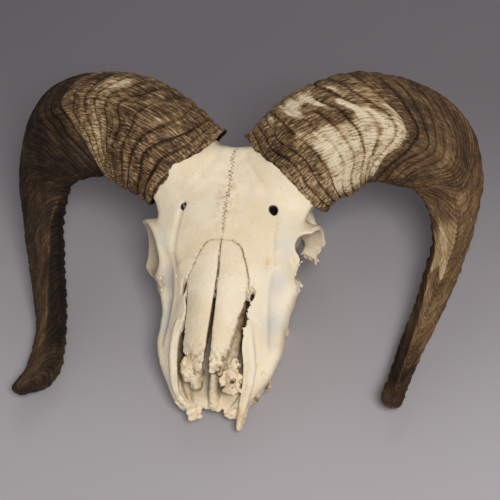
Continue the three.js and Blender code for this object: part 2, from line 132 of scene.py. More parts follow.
# Edge of the bone beside the open roof of the nose: y, distance from the midline.
NOSE_EDGE = {
    LEFT: [[-34, 24], [-38, 26.4], [-43, 25.6], [-48, 25.2], [-54, 24.2], [-68, 23.4], [-79, 25.6],
           [-90, 25.8], [-100, 24], [-112, 22]],
    RIGHT: [[-34, 26], [-38, 25.6], [-43, 24], [-49, 23.4], [-55, 24.4], [-61, 27], [-73, 27.4],
            [-85, 26], [-96, 23.5], [-104, 15], [-112, 12]],
}
NOSE_START = -35
NOSE_DEPTH = 20
NOSE_TEETH = {LEFT: 1.8, RIGHT: 0.5}
# Paths on the surface, on the animal's left. Each takes a width and a depth, below zero for a ridge.
FURROWS = {
    "foramen_groove": ([[36, 25, 9], [38, 17, 4], [38, 6, -3], [38.5, -6, -12], [38, -14, -18]], 2.2, 1.5),
    "tear_hollow": ([[43, -11, -19], [43.5, -20, -28], [43.5, -28, -35]], 8, 2.3),
    "tear_crest": ([[40, -3, -11], [38.5, -15, -20], [37.5, -25, -27], [38, -36, -35], [38.5, -52, -46],
                    [39.5, -64, -54]], 2.2, -0.9),
    "cheek_crest": ([[51, -22, -40], [47, -40, -48], [46, -58, -56], [43, -72, -63]], 3.5, -1.3),
    "cheek_hollow": ([[43, -38, -42], [42, -52, -50]], 6, 1.2),
    "nuchal_crest": ([[41, 76, -46], [37, 84, -30], [22, 89, -12], [0, 91, -5]], 2.8, -2.0),
    "temporal_line": ([[22, 66, 22], [24, 76, 8], [25, 84, -8]], 2.4, -0.9),
    "occipital_keel": ([[0, 92, -6], [0, 98, -22], [0, 101, -33]], 2.2, -0.8),
}
FORAMINA = [([36, 23.5, 12], 2.8), ([-35.5, 24.5, 12], 1.9)]
SMALL_HOLES = [
    ([38, -77, -64], 1.5), ([35.5, -75, -57], 1.2), ([-35, -21, -22], 0.8), ([-24, -25, -18], 0.8),
    ([-27, -28, -21], 0.9), ([27, -27, -21], 0.9), ([41, -12, -16], 0.7), ([30, 12, 3], 0.5),
]
# Broken scroll bones at the front of the nose: centre, half-sizes, roughness.
SCROLLS = [
    ([-13.5, -85, -59], [8.5, 7.5, 7], 1.1), ([-16.5, -81, -54], [6.5, 9, 6], 1.1),
    ([-10, -91, -64], [5, 5, 5], 1.0), ([11.5, -88, -59], [2.6, 6.5, 4.5], 2.0),
    ([15.5, -85, -58], [6.5, 2.4, 4.5], 2.0), ([18, -79, -55], [3, 6.5, 4], 2.4),
    ([15, -93, -65], [5.5, 2.2, 3.5], 2.2), ([21.5, -86, -64], [1.8, 8, 5], 2.0),
]
# Porous places: centre, spread, number of pits, size.
PORES = [
    ([-14, -88, -60], [9, 6, 7], 70, 1.0), ([14, -87, -60], [8, 8, 7], 60, 1.1),
    ([3, -98, -73], [3, 3, 4], 16, 0.9), ([-52, -17, -38], [3, 6, 7], 26, 0.9),
    ([24, -107, -81], [2, 7, 4], 22, 0.8), ([-24, -98, -70], [5, 6, 3], 16, 0.7),
    ([10, -101, -78], [9, 3, 3], 22, 0.9), ([-9, -103, -80], [7, 4, 3], 22, 0.8),
    ([55, -8, -22], [3, 12, 12], 20, 0.8), ([28, -32, -26], [5, 5, 4], 16, 0.7),
    ([-28, -28, -23], [4, 4, 3], 10, 0.6), ([0, 86, -8], [24, 8, 10], 40, 0.7),
]
# Grey spots of painted shade in hollows of the face, on both sides.
SHADE_SPOTS = [([43, -20, -28], [7, 12, 10]), ([42, -46, -46], [7, 14, 10]), ([47, 2, -9], [7, 8, 6])]
WARM_SPOTS = [([26, -106, -80], [4, 10, 8]), ([13, -82, -50], [5, 7, 8]), ([-15, -82, -48], [5, 6, 8]),
              ([-52, -18, -38], [5, 9, 10]), ([36, -8, -14], [5, 8, 5]), ([-10, -104, -81], [9, 5, 4]),
              ([0, 30, 14], [9, 40, 12])]
NASAL_HOLES = [([-27.6, -30, -25], [2.2, 5.6, 9]), ([25.8, -33, -24], [2.4, 5, 9])]
TOOTH_FRONT = -80
TOOTH_LENGTHS = [8, 9.5, 11, 13.5, 16, 17]
TOOTH_WIDTHS = [8, 10, 12, 14, 15, 14]
TOOTH_LINE = [23, 32]
# Horns: x outward, y, z, half-width across the curl, half-depth.
HORN_ROWS = {
    LEFT: [
        [35, 62, 7, 40, 27], [68, 70, 34, 42, 31], [103, 84, 38, 40, 31], [141, 92, 16, 37, 29],
        [158, 86, -15, 29, 23], [162, 57, -43, 17, 15], [153, 14, -64, 13, 11.5],
        [139, -32, -82, 10, 9], [134, -80, -78, 9, 8],
    ],
    RIGHT: [
        [37, 62, 7, 40, 27], [71, 72, 34, 42, 31], [107, 85, 36, 40, 30], [151, 91, 17, 39, 30],
        [175, 83, -15, 30, 24], [177, 57, -40, 21, 18], [166, 15, -62, 17, 15],
        [153, -28, -80, 15, 13], [148, -70, -84, 16, 14], [155, -92, -79, 12, 8],
    ],
}
HORN_FACE = [0.1, -0.67, 0.66]
HORN_FLATTEN = 0.2
HORN_KEELS = [[0, 0.06, 22], [170, 0.04, 25], [265, 0.1, 35]]
HORN_STATIONS = 160
RIM_SLANT = 11
RIM_ANGLE = 45
# How far the rim draws back over the broad face, and reaches out over the crown.
RIM_BARE = {LEFT: 7, RIGHT: 4}
RIM_PEAK = {LEFT: 8, RIGHT: 1.5}
PEDICLE_FOOT = [16, 60, -24]
PEDICLE_SHIFT = 1.5
PEDICLE_TRIM = 1.18            # narrower by this towards the crown

STEP = 0.72         # grid step of the cranium
NASAL_STEP = 0.55
COARSE = 3                                 # the broad forms are worked out on every third step
HORN_COLUMNS = 320
HORN_RUNS = 640
TIP_RINGS = 8
INNER_RINGS = 10
HORN_GIRTH = 150.0


RING_BULGE = {LEFT: (64, 76), RIGHT: (66, 120)}     # angle where the rings lead, at the base and past it


# ---------------------------------------------------------------- numbers
def lerp(a, b, t):
    return a + (b - a) * t


def smooth(low, high, value):
    t = np.clip((value - low) / (high - low), 0, 1)
    return t * t * (3 - 2 * t)


def between(value, start, full, fade, end):
    """One from full to fade, and nothing before start or past end."""
    return smooth(start, full, value) * smooth(end, fade, value)


def bell(away, width):
    return np.exp(-(away / width) ** 2)


def turned(degrees, start):
    """Angle past start, from -180 to 180."""
    return (degrees - start + 540) % 360 - 180


def apart(points, centre, size):
    """How far points are from a ball's centre, in its half-sizes."""
    return np.linalg.norm((points - np.array(centre)) / size, axis=1)


def catmull(rows, count):
    """Evenly spaced samples of a smooth curve through the rows."""
    rows = np.array(rows, float)
    padded = np.vstack([2 * rows[0] - rows[1], rows, 2 * rows[-1] - rows[-2]])
    t = np.linspace(0, len(rows) - 1, count)
    i = np.minimum(t.astype(int), len(rows) - 2)
    f = (t - i)[:, None]
    a, b, c, d = (padded[i + k] for k in range(4))
    return 0.5 * (2 * b + (c - a) * f + (2 * a - 5 * b + 4 * c - d) * f ** 2
                  + (3 * b - a - 3 * c + d) * f ** 3)


def row_at(rows, y):
    """The smooth curve's row at one y, for rows that start with y."""
    dense = catmull(rows, 240)
    return [y] + [np.interp(y, dense[:, 0], dense[:, k]) for k in range(1, dense.shape[1])]


def smooth_min(a, b, blend):
    if blend <= 0:
        return np.minimum(a, b)
    near = np.maximum(blend - np.abs(a - b), 0) / blend
    return np.minimum(a, b) - near * near * blend * 0.25


def lattice_noise(u, v, seed, turns=0):
    """Smooth noise from -1 to 1 over u and v. v repeats after that many cells when turns is set."""
    size = 256
    table = np.random.default_rng(seed).uniform(-1, 1, (size, turns or size)).astype(np.float32)
    iu, iv = np.floor(u).astype(int), np.floor(v).astype(int)
    fu, fv = u - iu, v - iv
    fu, fv = fu * fu * (3 - 2 * fu), fv * fv * (3 - 2 * fv)
    across = turns or size
    at = lambda a, b: table[(iu + a) % size, (iv + b) % across]
    return lerp(lerp(at(0, 0), at(1, 0), fu), lerp(at(0, 1), at(1, 1), fu), fv)


# ---------------------------------------------------------------- grid of distances
def cubic_weights(source, target):
    """Matrix that takes values at the even points source to the points target."""
    t = np.clip((target - source[0]) / (source[1] - source[0]), 0, len(source) - 1.001)
    i = t.astype(int)
    f = t - i
    shares = [
        -0.5 * f + f ** 2 - 0.5 * f ** 3, 1 - 2.5 * f ** 2 + 1.5 * f ** 3,
        0.5 * f + 2 * f ** 2 - 1.5 * f ** 3, -0.5 * f ** 2 + 0.5 * f ** 3,
    ]
    weights = np.zeros((len(target), len(source)), np.float32)
    for k, share in enumerate(shares):
        np.add.at(weights, (np.arange(len(target)), np.clip(i + k - 1, 0, len(source) - 1)), share)
    return weights


def resample(values, source, target):
    for k in range(3):
        values = np.moveaxis(np.tensordot(cubic_weights(source[k], target[k]), values, (1, k)), 0, k)
    return np.ascontiguousarray(values, dtype=np.float32)


class Grid:
    """Distances on an even grid. Bone is where they are below zero."""

    def __init__(self, low, high, step):
        self.step = step
        self.axes = [np.arange(low[k], high[k] + step, step, dtype=np.float32) for k in range(3)]
        self.values = np.full([len(a) for a in self.axes], 60, np.float32)

    def window(self, low, high):
        cut = tuple(slice(*np.searchsorted(self.axes[k], (low[k], high[k]))) for k in range(3))
        return cut, np.meshgrid(*(self.axes[k][cut[k]] for k in range(3)), indexing="ij", sparse=True)

    def join(self, shape, blend=0.0, rough=None, sign=1):
        """Joins a shape, or cuts it out if the sign is negative, eased over the blend."""
        low, high, distance = shape
        margin = blend + 3 * self.step
        part, (x, y, z) = self.window(np.array(low) - margin, np.array(high) + margin)
        away = distance(x, y, z)
        if rough is not None:
            away = away + rough[part]
        self.values[part] = sign * smooth_min(sign * self.values[part], away, blend)

    def cut(self, shape, blend=0.0, rough=None):
        self.join(shape, blend, rough, -1)

    def press(self, points, width, depth):
        """Sinks a groove along a path on the surface, or raises a ridge if the depth is below zero."""
        points = self.settle(points)
        cut, (x, y, z) = self.window(points.min(0) - 3 * width, points.max(0) + 3 * width)
        away = path_distance(points)(x, y, z)
        self.values[cut] += depth * bell(away, width)

    def fine(self, step_to):
        """The same field on a grid whose step is that much smaller."""
        other = Grid([a[0] for a in self.axes], [a[-1] for a in self.axes], step_to)
        other.values = resample(self.values, self.axes, other.axes)
        return other

    def at(self, points):
        """Field at points, read between the grid's own."""
        t = [(points[:, k] - self.axes[k][0]) / self.step for k in range(3)]
        i = [np.clip(t[k].astype(int), 0, len(self.axes[k]) - 2) for k in range(3)]
        f = [np.clip(t[k] - i[k], 0, 1) for k in range(3)]
        total = 0
        for corner in range(8):
            pick = [(corner >> k) & 1 for k in range(3)]
            share = 1
            for k in range(3):
                share = share * (f[k] if pick[k] else 1 - f[k])
            total = total + share * self.values[i[0] + pick[0], i[1] + pick[1], i[2] + pick[2]]
        return total

    def settle(self, points):
        """The nearest points on the surface."""
        points = np.array(points, float)
        for turn in range(8):
            slope = np.stack([
                (self.at(points + nudge) - self.at(points - nudge)) / (2 * self.step)
                for nudge in np.eye(3) * self.step], 1)
            size = np.maximum((slope ** 2).sum(1), 0.2)
            points = points - (np.clip(self.at(points), -2, 2) / size)[:, None] * slope
        return points


class Roof:
    """Height of the top of the bone over the x, y plane."""

    def __init__(self, grid):
        inside = grid.values < 0
        last = inside.shape[2] - 1 - inside[:, :, ::-1].argmax(2)
        last = np.minimum(last, inside.shape[2] - 2)
        i, j = np.indices(last.shape)
        low, high = grid.values[i, j, last], grid.values[i, j, last + 1]
        height = grid.axes[2][last] + grid.step * low / np.where(low < high, low - high, -1)
        self.height = np.where(inside.any(2), height, grid.axes[2][0]).astype(np.float32)
        self.axes = grid.axes

    def __call__(self, x, y):
        across, along = cubic_weights(self.axes[0], x.ravel()), cubic_weights(self.axes[1], y.ravel())
        return (across @ self.height @ along.T)[:, :, None]


# ---------------------------------------------------------------- shapes: low corner, high corner, distance
def ball(centre, size, turn=None):
    c, r = np.array(centre, float), np.array(size, float)
    reach = np.full(3, r.max()) if turn else r
    spin = np.array(Euler(turn).to_matrix().transposed()) if turn else None

    def distance(x, y, z):
        p = [x - c[0], y - c[1], z - c[2]]
        if turn:
            p = [spin[k][0] * p[0] + spin[k][1] * p[1] + spin[k][2] * p[2] for k in range(3)]
        first = np.sqrt(sum((p[k] / r[k]) ** 2 for k in range(3)))
        second = np.sqrt(sum((p[k] / r[k] ** 2) ** 2 for k in range(3)))
        return first * (first - 1) / np.maximum(second, 1e-4)
    return c - reach, c + reach, distance


def offset(x, y, z, origin):
    """Function that gives how far points are from the origin along a direction."""
    p = [x - origin[0], y - origin[1], z - origin[2]]
    return lambda v: p[0] * v[0] + p[1] * v[1] + p[2] * v[2]


def bar(rows, steps=9):
    """Round bar through rows of x, y, z, radius across, radius up."""
    path = catmull(rows, steps)
    reach = path[:, 3:].max()
    up = np.array([0.0, 0.0, 1.0])

    def distance(x, y, z):
        best = None
        for a, b in zip(path[:-1], path[1:]):
            line = b[:3] - a[:3]
            length = np.linalg.norm(line)
            along = line / length
            level = np.array([0.0, 1.0, 0.0]) if abs(along[2]) > 0.9 else up
            across = np.cross(along, level)
            across /= np.linalg.norm(across)
            raised = np.cross(across, along)
            dot = offset(x, y, z, a)
            run = dot(along)
            t = np.clip(run / length, 0, 1)
            wide, high = lerp(a[3], b[3], t), lerp(a[4], b[4], t)
            end = (run - t * length) / np.minimum(wide, high)
            first = np.sqrt((dot(across) / wide) ** 2 + (dot(raised) / high) ** 2 + end ** 2)
            second = np.sqrt((dot(across) / wide ** 2) ** 2 + (dot(raised) / high ** 2) ** 2
                             + (end / np.minimum(wide, high)) ** 2)
            d = first * (first - 1) / np.maximum(second, 1e-3)
            best = d if best is None else np.minimum(best, d)
        return best
    return path[:, :3].min(0) - reach, path[:, :3].max(0) + reach, distance


def path_distance(points):
    """Distance from a line through the points."""
    def distance(x, y, z):
        best = None
        for a, b in zip(points[:-1], points[1:]):
            line = b - a
            p = [x - a[0], y - a[1], z - a[2]]
            run = sum(p[k] * line[k] for k in range(3)) / max(line @ line, 1e-6)
            t = np.clip(run, 0, 1)
            near = sum((p[k] - t * line[k]) ** 2 for k in range(3))
            best = near if best is None else np.minimum(best, near)
        return np.sqrt(best)
    return distance


def mirrored(shape):
    low, high, distance = shape
    return (np.array([-high[0], low[1], low[2]]), np.array([-low[0], high[1], high[2]]),
            lambda x, y, z: distance(-x, y, z))


def both(shape):
    return [shape, mirrored(shape)]


def spline_loop(points, each=6):
    """Smooth closed outline through the points, evenly eased by the distance between them."""
    p = np.array(points, float)
    p0, p1, p2, p3 = np.roll(p, 1, 0), p, np.roll(p, -1, 0), np.roll(p, -2, 0)
    knot = lambda a, b: np.maximum(np.linalg.norm(b - a, axis=1) ** 0.5, 1e-3)[:, None]
    t1 = knot(p0, p1)
    t2 = t1 + knot(p1, p2)
    t3 = t2 + knot(p2, p3)
    out = []
    for k in range(each):
        t = t1 + (t2 - t1) * k / each
        a1 = (t1 - t) / t1 * p0 + t / t1 * p1
        a2 = (t2 - t) / (t2 - t1) * p1 + (t - t1) / (t2 - t1) * p2
        a3 = (t3 - t) / (t3 - t2) * p2 + (t - t2) / (t3 - t2) * p3
        b1 = (t2 - t) / t2 * a1 + t / t2 * a2
        b2 = (t3 - t) / (t3 - t1) * a2 + (t - t1) / (t3 - t1) * a3
        out.append((t2 - t) / (t2 - t1) * b1 + (t - t1) / (t2 - t1) * b2)
    return np.stack(out, 1).reshape(-1, 2)


def polygon_distance(u, v, loop):
    """Signed distance of the points u, v from a closed outline."""
    a, b = loop, np.roll(loop, -1, 0)
    e = b - a
    wu, wv = u[:, None] - a[:, 0], v[:, None] - a[:, 1]
    t = np.clip((wu * e[:, 0] + wv * e[:, 1]) / np.maximum((e ** 2).sum(1), 1e-9), 0, 1)
    near = np.sqrt(((wu - t * e[:, 0]) ** 2 + (wv - t * e[:, 1]) ** 2).min(1))
    spans = (a[:, 1] <= v[:, None]) != (b[:, 1] <= v[:, None])
    rise = np.where(np.abs(e[:, 1]) < 1e-9, 1e-9, e[:, 1])
    crossing = a[:, 0] + (v[:, None] - a[:, 1]) / rise * e[:, 0]
    inside = ((spans & (u[:, None] < crossing)).sum(1) % 2) == 1
    return np.where(inside, -near, near)


def loft(rows, section, low, high):
    """Solid through sections across y. section(row) gives half of an outline, as x, z points from the
    top of the midline to the bottom."""
    first, last = rows[0][0], rows[-1][0]

    def distance(x, y, z):
        u, v = (g.ravel().astype(np.float32) for g in np.meshgrid(x.ravel(), z.ravel(), indexing="ij"))
        out = np.empty((x.size, y.size, z.size), np.float32)
        for j, at in enumerate(y.ravel()):
            half = section(row_at(rows, min(max(at, first), last)))
            loop = spline_loop([*half, *[(-px, pz) for px, pz in half[-2:0:-1]]])
            flat = polygon_distance(u, v, loop).reshape(x.size, z.size)
            past = max(first - at, at - last)
            out[:, j] = np.maximum(flat, past) if past > -8 else flat
        return out
    return low, high, distance


# ---------------------------------------------------------------- mesh from a grid
def surface(grid):
    """Vertices and quads of the zero surface: one vertex in each cell that it passes through."""
    d = grid.values
    inside = d < 0
    count = np.zeros([n - 1 for n in d.shape], np.int8)
    corners = [(i, j, k) for i in (0, 1) for j in (0, 1) for k in (0, 1)]
    cell = lambda array, c: array[tuple(slice(c[k], array.shape[k] - 1 + c[k]) for k in range(3))]
    for c in corners:
        count += cell(inside, c)
    index = np.argwhere((count > 0) & (count < 8))
    values = np.stack([d[tuple((index + c).T)] for c in corners], 1)
    total, hits = np.zeros((len(index), 3)), np.zeros(len(index))
    for a, ca in enumerate(corners):
        for b, cb in enumerate(corners):
            if b <= a or sum(abs(p - q) for p, q in zip(ca, cb)) != 1:
                continue
            crosses = (values[:, a] < 0) != (values[:, b] < 0)
            t = values[:, a] / np.where(crosses, values[:, a] - values[:, b], 1)
            point = np.array(ca) + t[:, None] * (np.array(cb) - ca)
            total += point * crosses[:, None]
            hits += crosses
    points = (index + total / hits[:, None]) * grid.step + [a[0] for a in grid.axes]
    ids = np.full(count.shape, -1, np.int32)
    ids[tuple(index.T)] = np.arange(len(index))
    quads = []
    for axis in range(3):
        one, two = (axis + 1) % 3, (axis + 2) % 3
        lower = tuple(slice(0, -1) if k == axis else slice(1, -1) for k in range(3))
        upper = tuple(slice(1, None) if k == axis else slice(1, -1) for k in range(3))
        start, end = inside[lower], inside[upper]
        for flag, order in ((start & ~end, (0, 1, 2, 3)), (~start & end, (3, 2, 1, 0))):
            at = np.argwhere(flag)
            at[:, one] += 1
            at[:, two] += 1
            around = []
            for du, dv in ((-1, -1), (0, -1), (0, 0), (-1, 0)):
                c = at.copy()
                c[:, one] += du
                c[:, two] += dv
                around.append(ids[tuple(c.T)])
            quads.append(np.stack([around[k] for k in order], 1))
    return points, np.concatenate(quads)


def largest_body(points, quads):
    """Keeps only the biggest connected piece, so that no crumb floats beside it."""
    label = np.arange(len(points))
    pairs = np.concatenate([quads[:, [0, 1]], quads[:, [1, 2]], quads[:, [2, 3]]])
    while True:
        low = np.minimum(label[pairs[:, 0]], label[pairs[:, 1]])
        before = label.copy()
        np.minimum.at(label, pairs[:, 0], low)
        np.minimum.at(label, pairs[:, 1], low)
        label = label[label]
        label = label[label]
        if (label == before).all():
            break
    keep = label == np.bincount(label).argmax()
    new = np.cumsum(keep) - 1
    return points[keep], new[quads[keep[quads[:, 0]]]]


def eased(points, quads, rounds, share=0.5):
    """Softens the grid's steps a little."""
    pairs = np.concatenate([quads[:, [0, 1]], quads[:, [1, 2]], quads[:, [2, 3]], quads[:, [3, 0]]])
    degree = np.bincount(pairs.ravel(), minlength=len(points))
    for turn in range(rounds):
        for amount in (share, -share * 1.04):
            total = np.stack([
                np.bincount(pairs[:, 0], points[pairs[:, 1], k], len(points))
                + np.bincount(pairs[:, 1], points[pairs[:, 0], k], len(points)) for k in range(3)], 1)
            points = points + amount * (total / degree[:, None] - points)
    return points


def make_object(name, points, faces, material, floats, vectors=None):
    """Mesh object in the row frame from points in millimetres from the nasion. faces holds one array
    for each number of sides."""
    mesh = bpy.data.meshes.new(name)
    mesh.vertices.add(len(points))
    mesh.vertices.foreach_set("co", ((points + NASION) / MM).astype(np.float32).ravel())
    corners = np.concatenate([f.ravel() for f in faces]).astype(np.int32)
    sides = np.concatenate([np.full(len(f), f.shape[1]) for f in faces])
    mesh.loops.add(len(corners))
    mesh.loops.foreach_set("vertex_index", corners)
    mesh.polygons.add(len(sides))
    mesh.polygons.foreach_set("loop_start", (np.cumsum(sides) - sides).astype(np.int32))
    mesh.polygons.foreach_set("use_smooth", np.ones(len(sides), bool))
    mesh.update(calc_edges=True)
    mesh.validate()
    for key, values in floats.items():
        mesh.attributes.new(key, "FLOAT", "POINT").data.foreach_set("value", values.astype(np.float32))
    for key, values in (vectors or {}).items():
        layer = mesh.attributes.new(key, "FLOAT_VECTOR", "POINT")
        layer.data.foreach_set("vector", values.astype(np.float32).ravel())
    obj = bpy.data.objects.new(name, mesh)
    bpy.context.scene.collection.objects.link(obj)
    mesh.materials.append(material)
    return obj


# ---------------------------------------------------------------- horn centreline
def horn_line(side):
    """Stations along a horn: centre, direction, the two axes of its section, half-sizes, length so far."""
    rows = catmull(HORN_ROWS[side], HORN_STATIONS)
    centre = rows[:, :3] * (side, 1, 1)
    along = np.gradient(centre, axis=0)
    along /= np.linalg.norm(along, axis=1)[:, None]
    face = np.array(HORN_FACE) * (side, 1, 1)
    faces = []
    for direction in along:
        face = face - direction * (face @ direction)
        face = face / np.linalg.norm(face)
        faces.append(face)
    faces = np.array(faces)
    across = np.cross(along, faces) * side
    length = np.concatenate([[0], np.cumsum(np.linalg.norm(np.diff(centre, axis=0), axis=1))])
    return centre, along, across, faces, rows[:, 3:], length


def section_reach(degrees):
    reach = 1 - HORN_FLATTEN * np.maximum(0, np.sin(np.radians(degrees))) ** 1.5
    for at, height, spread in HORN_KEELS:
        reach = reach + height * bell(turned(degrees, at), spread)
    return reach


def horn_surface(side, run, degrees, scale=1.0):
    """Points of a horn's smooth surface at a length along it and an angle round it."""
    centre, along, across, face, half, length = horn_line(side)
    read = lambda table: np.stack([np.interp(run, length, table[:, k]) for k in range(table.shape[1])], -1)
    c, a, f, h = read(centre), read(across), read(face), read(half)
    c = c + np.minimum(run, 0)[..., None] * along[0]
    reach = section_reach(degrees) * scale
    angle = np.radians(degrees)
    return (c + a * (h[..., 0] * reach * np.cos(angle))[..., None]
            + f * (h[..., 1] * reach * np.sin(angle))[..., None])


# ---------------------------------------------------------------- bone: cranium
def face_section(row):
    y, ridge, roof, drop, cheek, cheek_z, gum = row
    return [
        (0, ridge), (roof * 0.6, ridge - drop * 0.35), (roof, ridge - drop),
        (lerp(roof, cheek, 0.6), lerp(ridge - drop, cheek_z, 0.5)), (cheek, cheek_z),
        (lerp(cheek, gum, 0.5), lerp(cheek_z, GUM_HEIGHT, 0.55)), (gum, GUM_HEIGHT),
        (gum - 9, GUM_HEIGHT), (gum - 14, PALATE_HEIGHT - 2), (0, PALATE_HEIGHT),
    ]


def forehead_section(row):
    y, crown, width, droop, thick = row
    return [
        (0, crown), (width * 0.45, crown - droop * 0.12), (width * 0.8, crown - droop * 0.55),
        (width, crown - droop), (width * 0.85, crown - droop - thick * 0.25),
        (width * 0.5, crown - thick * 0.9), (0, crown - thick),
    ]


def rear_section(row):
    y, top, width, middle, base = row
    return [
        (0, top), (width * 0.55, lerp(top, middle, 0.18)), (width * 0.9, lerp(top, middle, 0.6)),
        (width, middle), (width * 0.85, lerp(middle, base, 0.6)), (width * 0.5, lerp(middle, base, 0.95)),
        (0, base),
    ]


def cavity_section(row):
    y, ridge, roof, drop, cheek, cheek_z, gum = row
    top = ridge - drop - WALL - 1
    return [
        (0, top), (roof * 0.7, top), (roof * 0.95, top - WALL),
        (lerp(roof, cheek, 0.55) - WALL, lerp(ridge - drop, cheek_z, 0.55)), (gum - 8, cheek_z - 4),
        (gum - 13, PALATE_HEIGHT + PALATE_THICKNESS + 2), (0, PALATE_HEIGHT + PALATE_THICKNESS),
    ]


def pedicle(side):
    """Bony root of a horn, from the braincase to a little way inside the sheath."""
    centre, along, across, face, half, length = horn_line(side)
    foot = np.array(PEDICLE_FOOT) * (side, 1, 1)
    axis_a, axis_b = across[0], face[0]
    rim = centre[0] + axis_b * PEDICLE_SHIFT
    stops = [(0.0, foot, 0.5), (0.6, None, 0.84), (1.0, rim, 0.88), (1.6, rim + along[0] * 24, 0.8)]
    ends = [(lerp(foot, rim, s) if p is None else p, size) for s, p, size in stops]
    low = np.min([p for p, _ in ends], 0) - 45
    high = np.max([p for p, _ in ends], 0) + 45

    def distance(x, y, z):
        best = None
        for (a, size_a), (b, size_b) in zip(ends[:-1], ends[1:]):
            line = b - a
            length_ab = np.linalg.norm(line)
            direction = line / length_ab
            dot = offset(x, y, z, a)
            t = np.clip(dot(direction) / length_ab, 0, 1)
            size = lerp(size_a, size_b, t)
            over = (dot(direction) - t * length_ab) / 14
            u = (dot(axis_a) - t * (line @ axis_a)) / (half[0, 0] * size)
            u = np.where(u < 0, u * PEDICLE_TRIM, u)
            v = (dot(axis_b) - t * (line @ axis_b)) / (half[0, 1] * size)
            d = (np.sqrt(u * u + v * v + over * over) - 1) * half[0, 1] * 0.8
            best = d if best is None else np.minimum(best, d)
        return best
    return low, high, distance


def tooth(side, number):
    """One cheek tooth: a single column for the first three, two columns for the rest."""
    total = sum(TOOTH_LENGTHS)
    start = TOOTH_FRONT + sum(TOOTH_LENGTHS[:number])
    length, width = TOOTH_LENGTHS[number], TOOTH_WIDTHS[number]
    columns = 1 if number < 3 else 2
    parts = []
    for k in range(columns):
        y = start + length * (k + 0.5) / columns
        x = lerp(*TOOTH_LINE, (y - TOOTH_FRONT) / total) * side
        parts.append((x, y, width / 2, length / columns * 0.56))
    low = [min(p[0] for p in parts) - width, start - 3, -NASION_HEIGHT - 2]
    high = [max(p[0] for p in parts) + width, start + length + 3, -78]

    def distance(x, y, z):
        best = None
        for cx, cy, half_width, half_length in parts:
            lean = (z + NASION_HEIGHT) * 0.06 * side
            u, v = (x - cx - lean) / half_width, (y - cy) / half_length
            radial = (np.sqrt(u * u + v * v + 0.5 * u * u * v * v) - 1) * min(half_width, half_length)
            inner = (np.abs(x - cx - lean - side * half_width * 0.12) / (half_width * 0.55)) ** 2
            inner = np.abs(np.sqrt(inner + (v / 0.62) ** 2) - 0.62) * half_length * 0.62
            dish = 0.5 - inner
            d = np.maximum(radial, z - high[2])
            d = np.maximum(d, np.minimum(dish, 1.3 - (z + NASION_HEIGHT)))
            best = d if best is None else smooth_min(best, d, 1.0)
        return best
    return low, high, distance


def cranium_grid():
    low, high = [-84, -119, -101], [84, 115, 52]
    coarse_step = STEP * COARSE
    everywhere = (low, high)
    outer = Grid(low, high, coarse_step)
    outer.join(loft(FACE, face_section, *everywhere))
    outer.join(loft(FOREHEAD, forehead_section, *everywhere), 9)
    outer.join(ball(*WALLS), 6)
    outer.join(loft(REAR, rear_section, *everywhere), 9)
    for side in (LEFT, RIGHT):
        outer.join(pedicle(side), 10)
    cavity = Grid(low, high, coarse_step)
    cavity.join(loft(FACE[:6], cavity_section, *everywhere))
    wave = soft_noise(low, high, 7, 3)
    crumbs = soft_noise(low, high, 2.4, 4)
    grid = outer.fine(STEP)
    roof = Roof(grid)
    hollow = cavity.fine(STEP).values
    noises = [resample(n.values, n.axes, grid.axes) for n in (wave, crumbs)]
    solid = form_cranium(grid, hollow, roof, *noises)
    return grid, roof, solid


def soft_noise(low, high, step, seed):
    """Grid of random numbers from -1 to 1, to be read between its points."""
    grid = Grid(low, high, step)
    grid.values = np.random.default_rng(seed).uniform(-1, 1, grid.values.shape).astype(np.float32)
    return grid


def orbit_cup(side):
    """Flared rim of an eye socket, ended on the rim's slanting plane."""
    low, high, cup = bar(ORBIT_CUP, 6)
    base, over_y, over_z, most = ORBIT_RIM[side]
    lean = math.sqrt(1 + over_y ** 2 + over_z ** 2)

    def distance(x, y, z):
        past_rim = np.maximum((x - base - over_y * y - over_z * z) / lean, x - most)
        return -smooth_min(-cup(x, y, z), -past_rim, 2)
    return low, high, distance


def nose_opening(side):
    """The open roof of the nose on one side, with small teeth of bone along its edge."""
    edges = catmull(NOSE_EDGE[side], 200)[::-1]
    ridges = catmull(FACE, 240)
    low, high = sorted([-1 * side, 30 * side])

    def distance(x, y, z):
        jag = lattice_noise(y / 1.5, y * 0, 41) + 0.5 * lattice_noise(y / 0.6, y * 0, 42)
        jag = NOSE_TEETH[side] * between(y, -66, -58, -40, -36) * jag
        edge = np.interp(y, edges[:, 0], edges[:, 1]) - jag
        floor = np.interp(y, ridges[:, 0], ridges[:, 1]) - NOSE_DEPTH
        wide = np.maximum(x * side - edge, -x * side - 1)
        return np.maximum(np.maximum(wide, y - NOSE_START), floor - z)
    return [low, -125, -95], [high, NOSE_START, 5], distance


def scatter(grid, centre, spread, count, size, seed):
    """Small pits in the surface round a place."""
    random = np.random.default_rng(seed)
    spots = np.array(centre) + random.normal(0, 0.6, (count, 3)) * spread
    sizes = size * random.uniform(0.5, 1.2, count)
    for spot, radius in zip(grid.settle(spots), sizes):
        grid.cut(ball(spot, [radius] * 3), 0.4)


